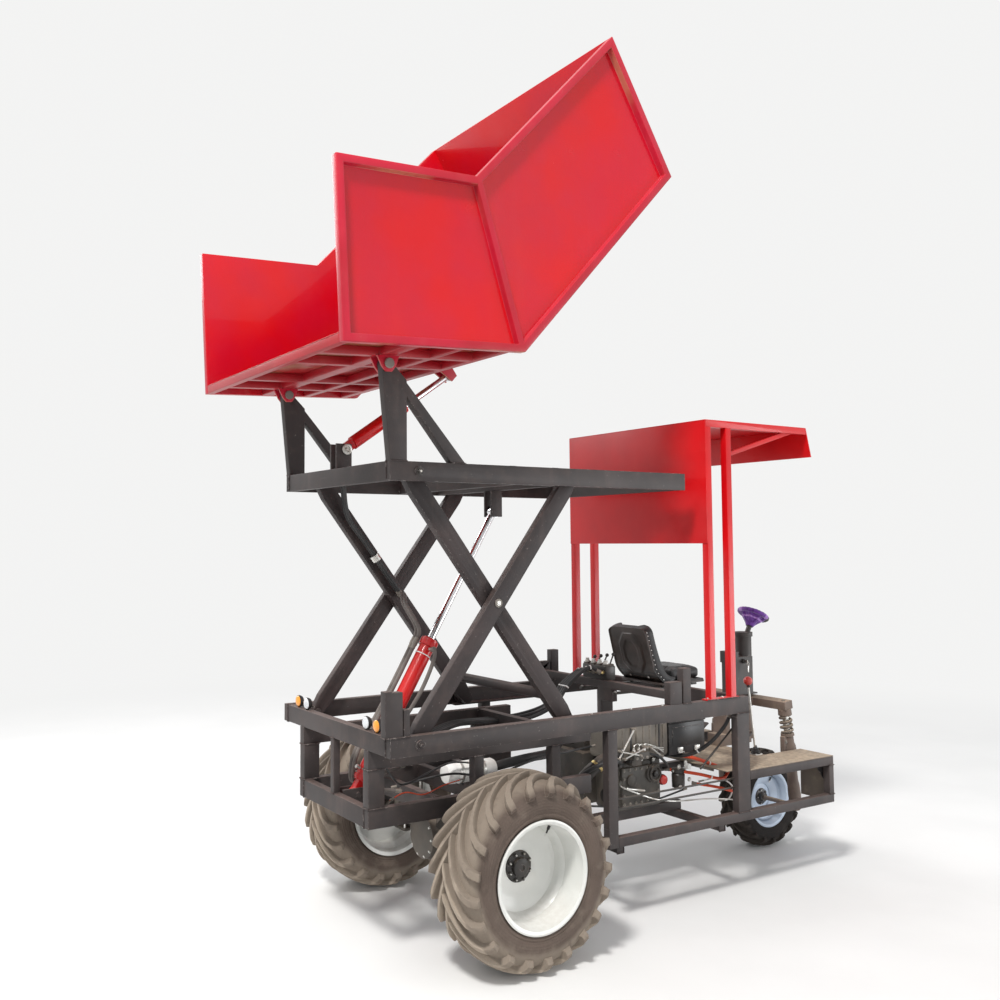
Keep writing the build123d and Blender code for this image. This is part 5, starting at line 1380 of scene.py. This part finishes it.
for name, material, radius, *points in (
    ("orange_hose_upper", orange_hose, 0.011, (0.63, -0.2, 0.8), (0.72, -0.34, 0.8), (0.84, -0.42, 0.755),
     (0.94, -0.43, 0.715), (1.02, -0.36, 0.7), (1.06, -0.26, 0.715)),
    ("orange_hose_middle", orange_hose, 0.01, (0.6, -0.24, 0.72), (0.74, -0.4, 0.7), (0.88, -0.45, 0.665),
     (0.98, -0.42, 0.68), (1.07, -0.34, 0.7)),
    ("orange_hose_lower", orange_hose, 0.009, (0.78, -0.3, 0.62), (0.88, -0.42, 0.605), (0.98, -0.46, 0.575),
     (1.07, -0.47, 0.555)),
    ("white_tube", white_plastic, 0.005, (0.78, -0.36, 0.64), (0.9, -0.42, 0.66), (1.0, -0.44, 0.6),
     (0.99, -0.42, 0.52), (0.95, -0.38, 0.5)),
    ("brake_line_right", black_rubber, 0.006, (0.7, -0.33, 0.6), (0.4, -0.36, 0.575), (0.16, -0.36, 0.56),
     (-0.1, -0.34, 0.6), (-0.4, -0.3, 0.62), (-0.86, -0.3, 0.6)),
    ("cab_hose", black_rubber, 0.012, (0.62, -0.18, 0.8), (0.68, -0.36, 0.82), (0.74, -0.48, 0.9),
     (0.8, -0.555, 1.01), (0.855, -0.572, 1.1)),
    ("rear_wire_0", orange_hose, 0.0035, (-1.52, -0.38, 0.835), (-1.4, -0.34, 0.85), (-1.28, -0.33, 0.822),
     (-1.12, -0.28, 0.84), (-0.98, -0.28, 0.86)),
    ("rear_wire_1", black_rubber, 0.0055, (-1.6, -0.41, 1.09), (-1.52, -0.4, 0.96), (-1.4, -0.33, 0.89),
     (-1.22, -0.3, 0.93), (-1.05, -0.25, 0.95), (-0.9, -0.24, 0.93)),
    ("rear_wire_2", black_rubber, 0.0065, (-1.35, -0.1, 0.82), (-1.2, -0.24, 0.88), (-1.06, -0.3, 0.9),
     (-0.8, -0.3, 0.86), (-0.45, -0.25, 0.9), (0.05, -0.2, 0.92)),
    *((f"lamp_wire_{side_name}", black_rubber, 0.0035,
       (-1.63, sign * 0.365, 1.235), (-1.6, sign * 0.38, 1.218), (-1.595, sign * 0.45, 1.214),
       (-1.6, sign * 0.52, 1.214), (-1.6, sign * 0.575, 1.12))
      for side_name, sign in (("right", -1), ("left", 1))),
):
    hose(name, "chassis", points, radius, material, (0.4,) if radius > 0.009 else ())

fittings = Piece("fuel_filter_and_fittings", "chassis", "cast_metal", oily_metal)
filter_foot = vec(0.66, -0.3, 0.6)
fittings.lathe((
    (0, 0.02), (0.01, 0.04), (0.09, 0.042), (0.1, 0.036), (0.104, 0.044), (0.125, 0.044), (0.13, 0.02),
), filter_foot, UP, 28)
fittings.use(zinc).rod(*path(filter_foot, (-0.05, 0, 0.115), (0.07, 0, 0.115)), 0.009, 12)
fittings.use(white_plastic).lathe(
    ((0, 0.018), (0.03, 0.018)), filter_foot + vec(0.02, -0.05, 0.15), RIGHT, 16
)
for along, up in ((-0.04, 0.15), (0.05, 0.06), (0.02, 0.17), (-0.03, 0.02)):
    fittings.use(zinc).bolt(filter_foot + vec(along, -0.046, up), RIGHT, 0.01)
fittings.done()

# ---------------------------------------------------------------- welds and bolts

def beads(name, body, rows):
    """Weld beads that ride on one body."""
    made = Piece(name, body, "frame_paint", arm_paint)
    for start, end in rows:
        made.weld(start, end)
    made.done()


def round_joint(low, high, axis, level, gap=0.001):
    """The edges round a section where it meets another."""
    first, second = [k for k in range(3) if k != axis]
    places = []
    for a, b in ((0, 0), (1, 0), (1, 1), (0, 1)):
        corner = vec(level, level, level)
        corner[first] = (low[first] - gap, high[first] + gap)[a]
        corner[second] = (low[second] - gap, high[second] + gap)[b]
        places.append(corner)
    return list(zip(places, places[1:] + places[:1]))


# Posts end free at the rails' undersides and above the deck, so no bead runs there
RAIL_UNDERSIDE, DECK_TOP = box("lower_rails")[0].z, box("chassis_side_beams")[1].z
chassis_rows = []
for low, high in islands("chassis_posts"):
    for level in (low.z, high.z):
        if RAIL_UNDERSIDE + 0.001 < level < DECK_TOP + 0.001:
            chassis_rows += round_joint(low, high, 2, level)
for low, high in islands("chassis_cross_beams"):
    for level in (low.y, high.y):
        chassis_rows += round_joint(low, high, 1, level)
for low, high in islands("canopy_posts"):
    for y in (low.y - 0.002, high.y + 0.002):
        chassis_rows.append(((at(1.507), y, low.z + 0.002), (at(1.788), y, low.z + 0.002)))
beads("chassis_welds", "chassis", chassis_rows)
platform_rows = []
for low, high in islands("platform_cross_beams"):
    for level in (low.y, high.y):
        # None below, where the platform comes to rest on its stops
        platform_rows += round_joint(low + vec(0, 0, 0.01), high, 1, level)[1:]
for low, high in islands("hinge_brackets"):
    for start, end in ((-1.664, -1.564), (-1.294, -1.204)):
        for y in (low.y - 0.001, high.y + 0.001):
            platform_rows.append(((start, y, low.z + 0.001), (end, y, low.z + 0.001)))
beads("platform_welds", "platform", platform_rows)

trim = Piece("chassis_bolts", "chassis", "bright_pin", zinc)
platform_trim = Piece("platform_bolts", "platform", "bright_pin", zinc)
pins = Piece("arm_pin_nuts", "outer_arms", "bright_pin", zinc)
for sign in (-1, 1):
    out = (0, sign, 0)
    trim.use(arm_paint).bolt((ARM_FOOT.x, sign * 0.6585, ARM_FOOT.z), out, 0.012)
    for x in (1.535, 1.66, 1.765):
        trim.use(zinc).bolt((at(x), sign * 0.627, 1.218), UP, 0.007)
    for x in (0.6, 0.9, 1.15):
        trim.bolt((at(x), sign * 0.625, 1.21), UP, 0.006)
    for x in (0.262, 0.88):
        trim.bolt((x, sign * 0.16, 1.226), UP, 0.007)
    platform_trim.use(oily_metal).bolt((PLATFORM_PIN.x, sign * 0.6525, PLATFORM_PIN.z), out, 0.014)
    platform_trim.use(zinc).lathe(
        ((0, 0.007), (0.002, 0.006)), (PLATFORM_PIN.x, sign * 0.6666, PLATFORM_PIN.z), out, 16
    )
    ring_place = (TIP_BASE.x, sign * 0.0485, TIP_BASE.z)
    platform_trim.lathe(
        ((0, 0.03), (0.006, 0.03), (0.008, 0.026), (0.008, 0.018), (0.002, 0.017)), ring_place, out, 28
    )
    platform_trim.bolt(ring_place, out, 0.01)
    pins.use(zinc).bolt((CENTRE_PIN.x, sign * 0.598, CENTRE_PIN.z), out, 0.009)
    pins.use(bolt_metal).lathe(
        ((0, 0.024), (0.002, 0.0235)), (CENTRE_PIN.x, sign * 0.5975, CENTRE_PIN.z), out, 24
    )
for piece in (trim, platform_trim, pins):
    piece.done()
hinge_heads = Piece("skip_hinge_heads", "skip", "bright_pin", bolt_metal)
for low, high in islands("skip_lugs"):
    if high.y - low.y > 0.08:
        for y, out in ((low.y, RIGHT), (high.y, LEFT)):
            hinge_heads.lathe(
                ((-0.004, 0.027), (0.003, 0.027), (0.006, 0.023), (0.007, 0.004)),
                (TIP_HINGE.x, y, TIP_HINGE.z), out, 28,
            )
hinge_heads.done()

# ---------------------------------------------------------------- camera, light, floor

def placed(name, data):
    """A new object in the scene."""
    made = bpy.data.objects.new(name, data)
    bpy.context.scene.collection.objects.link(made)
    return made


camera_data = bpy.data.cameras.new("camera")
camera = placed("camera", camera_data)
bpy.context.scene.camera = camera
camera_data.sensor_width = 36.0
camera_data.lens = 35.58
camera_data.shift_x = 0.0873
camera_data.shift_y = -0.0147
camera_data.clip_start, camera_data.clip_end = 0.05, 200
camera.location = (at(-3.18), -4.964, 2.176)
yaw, pitch, roll = radians(59.032), radians(3.383), radians(-0.186)
ahead = vec(cos(yaw) * cos(pitch), sin(yaw) * cos(pitch), sin(pitch))
level = vec(sin(yaw), -cos(yaw), 0)
above = level.cross(ahead)
across = level * cos(roll) + above * sin(roll)
upright = above * cos(roll) - level * sin(roll)
camera.rotation_euler = Matrix((across, upright, -ahead)).transposed().to_euler()

PALE = (0.9, 0.9, 0.895)
floor_mesh = bpy.data.meshes.new("floor")
floor_work = bmesh.new()
bmesh.ops.create_grid(floor_work, x_segments=2, y_segments=2, size=60)
floor_work.to_mesh(floor_mesh)
floor_work.free()
floor = placed("floor", floor_mesh)
s = Surface("floor_pale", 0.9, Specular_IOR_Level=0.1)
s.colour = s.mix(s.patches(1.2, 6, 0.3, 0.7), (0.8, 0.8, 0.795), (0.77, 0.77, 0.765))
floor_mesh.materials.append(s.done())
far_away = s.vector("LENGTH", s.place)["Value"]
glow = s.node("ShaderNodeEmission", {"Color": (*PALE, 1), "Strength": 1.0})
fade = s.node("ShaderNodeMixShader", {
    0: s.step(far_away, 3.5, 11.0), 1: s.shader.outputs[0], 2: glow.outputs[0],
})
s.tree.links.new(fade.outputs[0], s.tree.nodes["Material Output"].inputs["Surface"])
floor.location.z = -0.0005


def area_light(name, place, target, size, power, tone=(1, 1, 1)):
    """A soft rectangular light that looks at a target."""
    data = bpy.data.lights.new(name, "AREA")
    data.shape = "RECTANGLE"
    data.size, data.size_y = size
    data.energy = power
    data.color = tone
    made = placed(name, data)
    made.location = place
    made.rotation_euler = (Vector(target) - Vector(place)).to_track_quat("-Z", "Y").to_euler()


# The world: a pale blue sky lights the scene, and the camera and glossy faces see a paler backdrop
world = bpy.data.worlds.new("studio")
bpy.context.scene.world = world
world.use_nodes = True
tree = world.node_tree
sky = tree.nodes["Background"]
sky.inputs["Color"].default_value = (0.92, 0.95, 1.0, 1)
sky.inputs["Strength"].default_value = 0.55
seen = add_node(tree, "ShaderNodeBackground", {"Color": (*PALE, 1)})
rays = add_node(tree, "ShaderNodeLightPath").outputs
# Every other ray meets an even mix of the two
share = 0.5
for kind in ("Is Camera Ray", "Is Glossy Ray", "Is Transmission Ray"):
    share = add_node(tree, "ShaderNodeMath", {0: rays[kind], 1: share}, operation="MAXIMUM").outputs[0]
both = add_node(tree, "ShaderNodeMixShader", {0: share, 1: sky.outputs[0], 2: seen.outputs[0]})
tree.links.new(both.outputs[0], tree.nodes["World Output"].inputs["Surface"])

area_light("key", (-7.0, -4.6, 11.6), (-0.4, 0, 2.2), (1.8, 1.8), 1450, (1.0, 0.98, 0.95))
area_light("fill", (8.0, -7.0, 1.7), (0.2, 0, 1.6), (4.0, 3.0), 260, (0.96, 0.98, 1.0))
area_light("back", (-3.0, 8.0, 7.5), (-0.4, 0, 2.4), (6.0, 4.0), 360)
bpy.context.scene.view_settings.view_transform = "Standard"
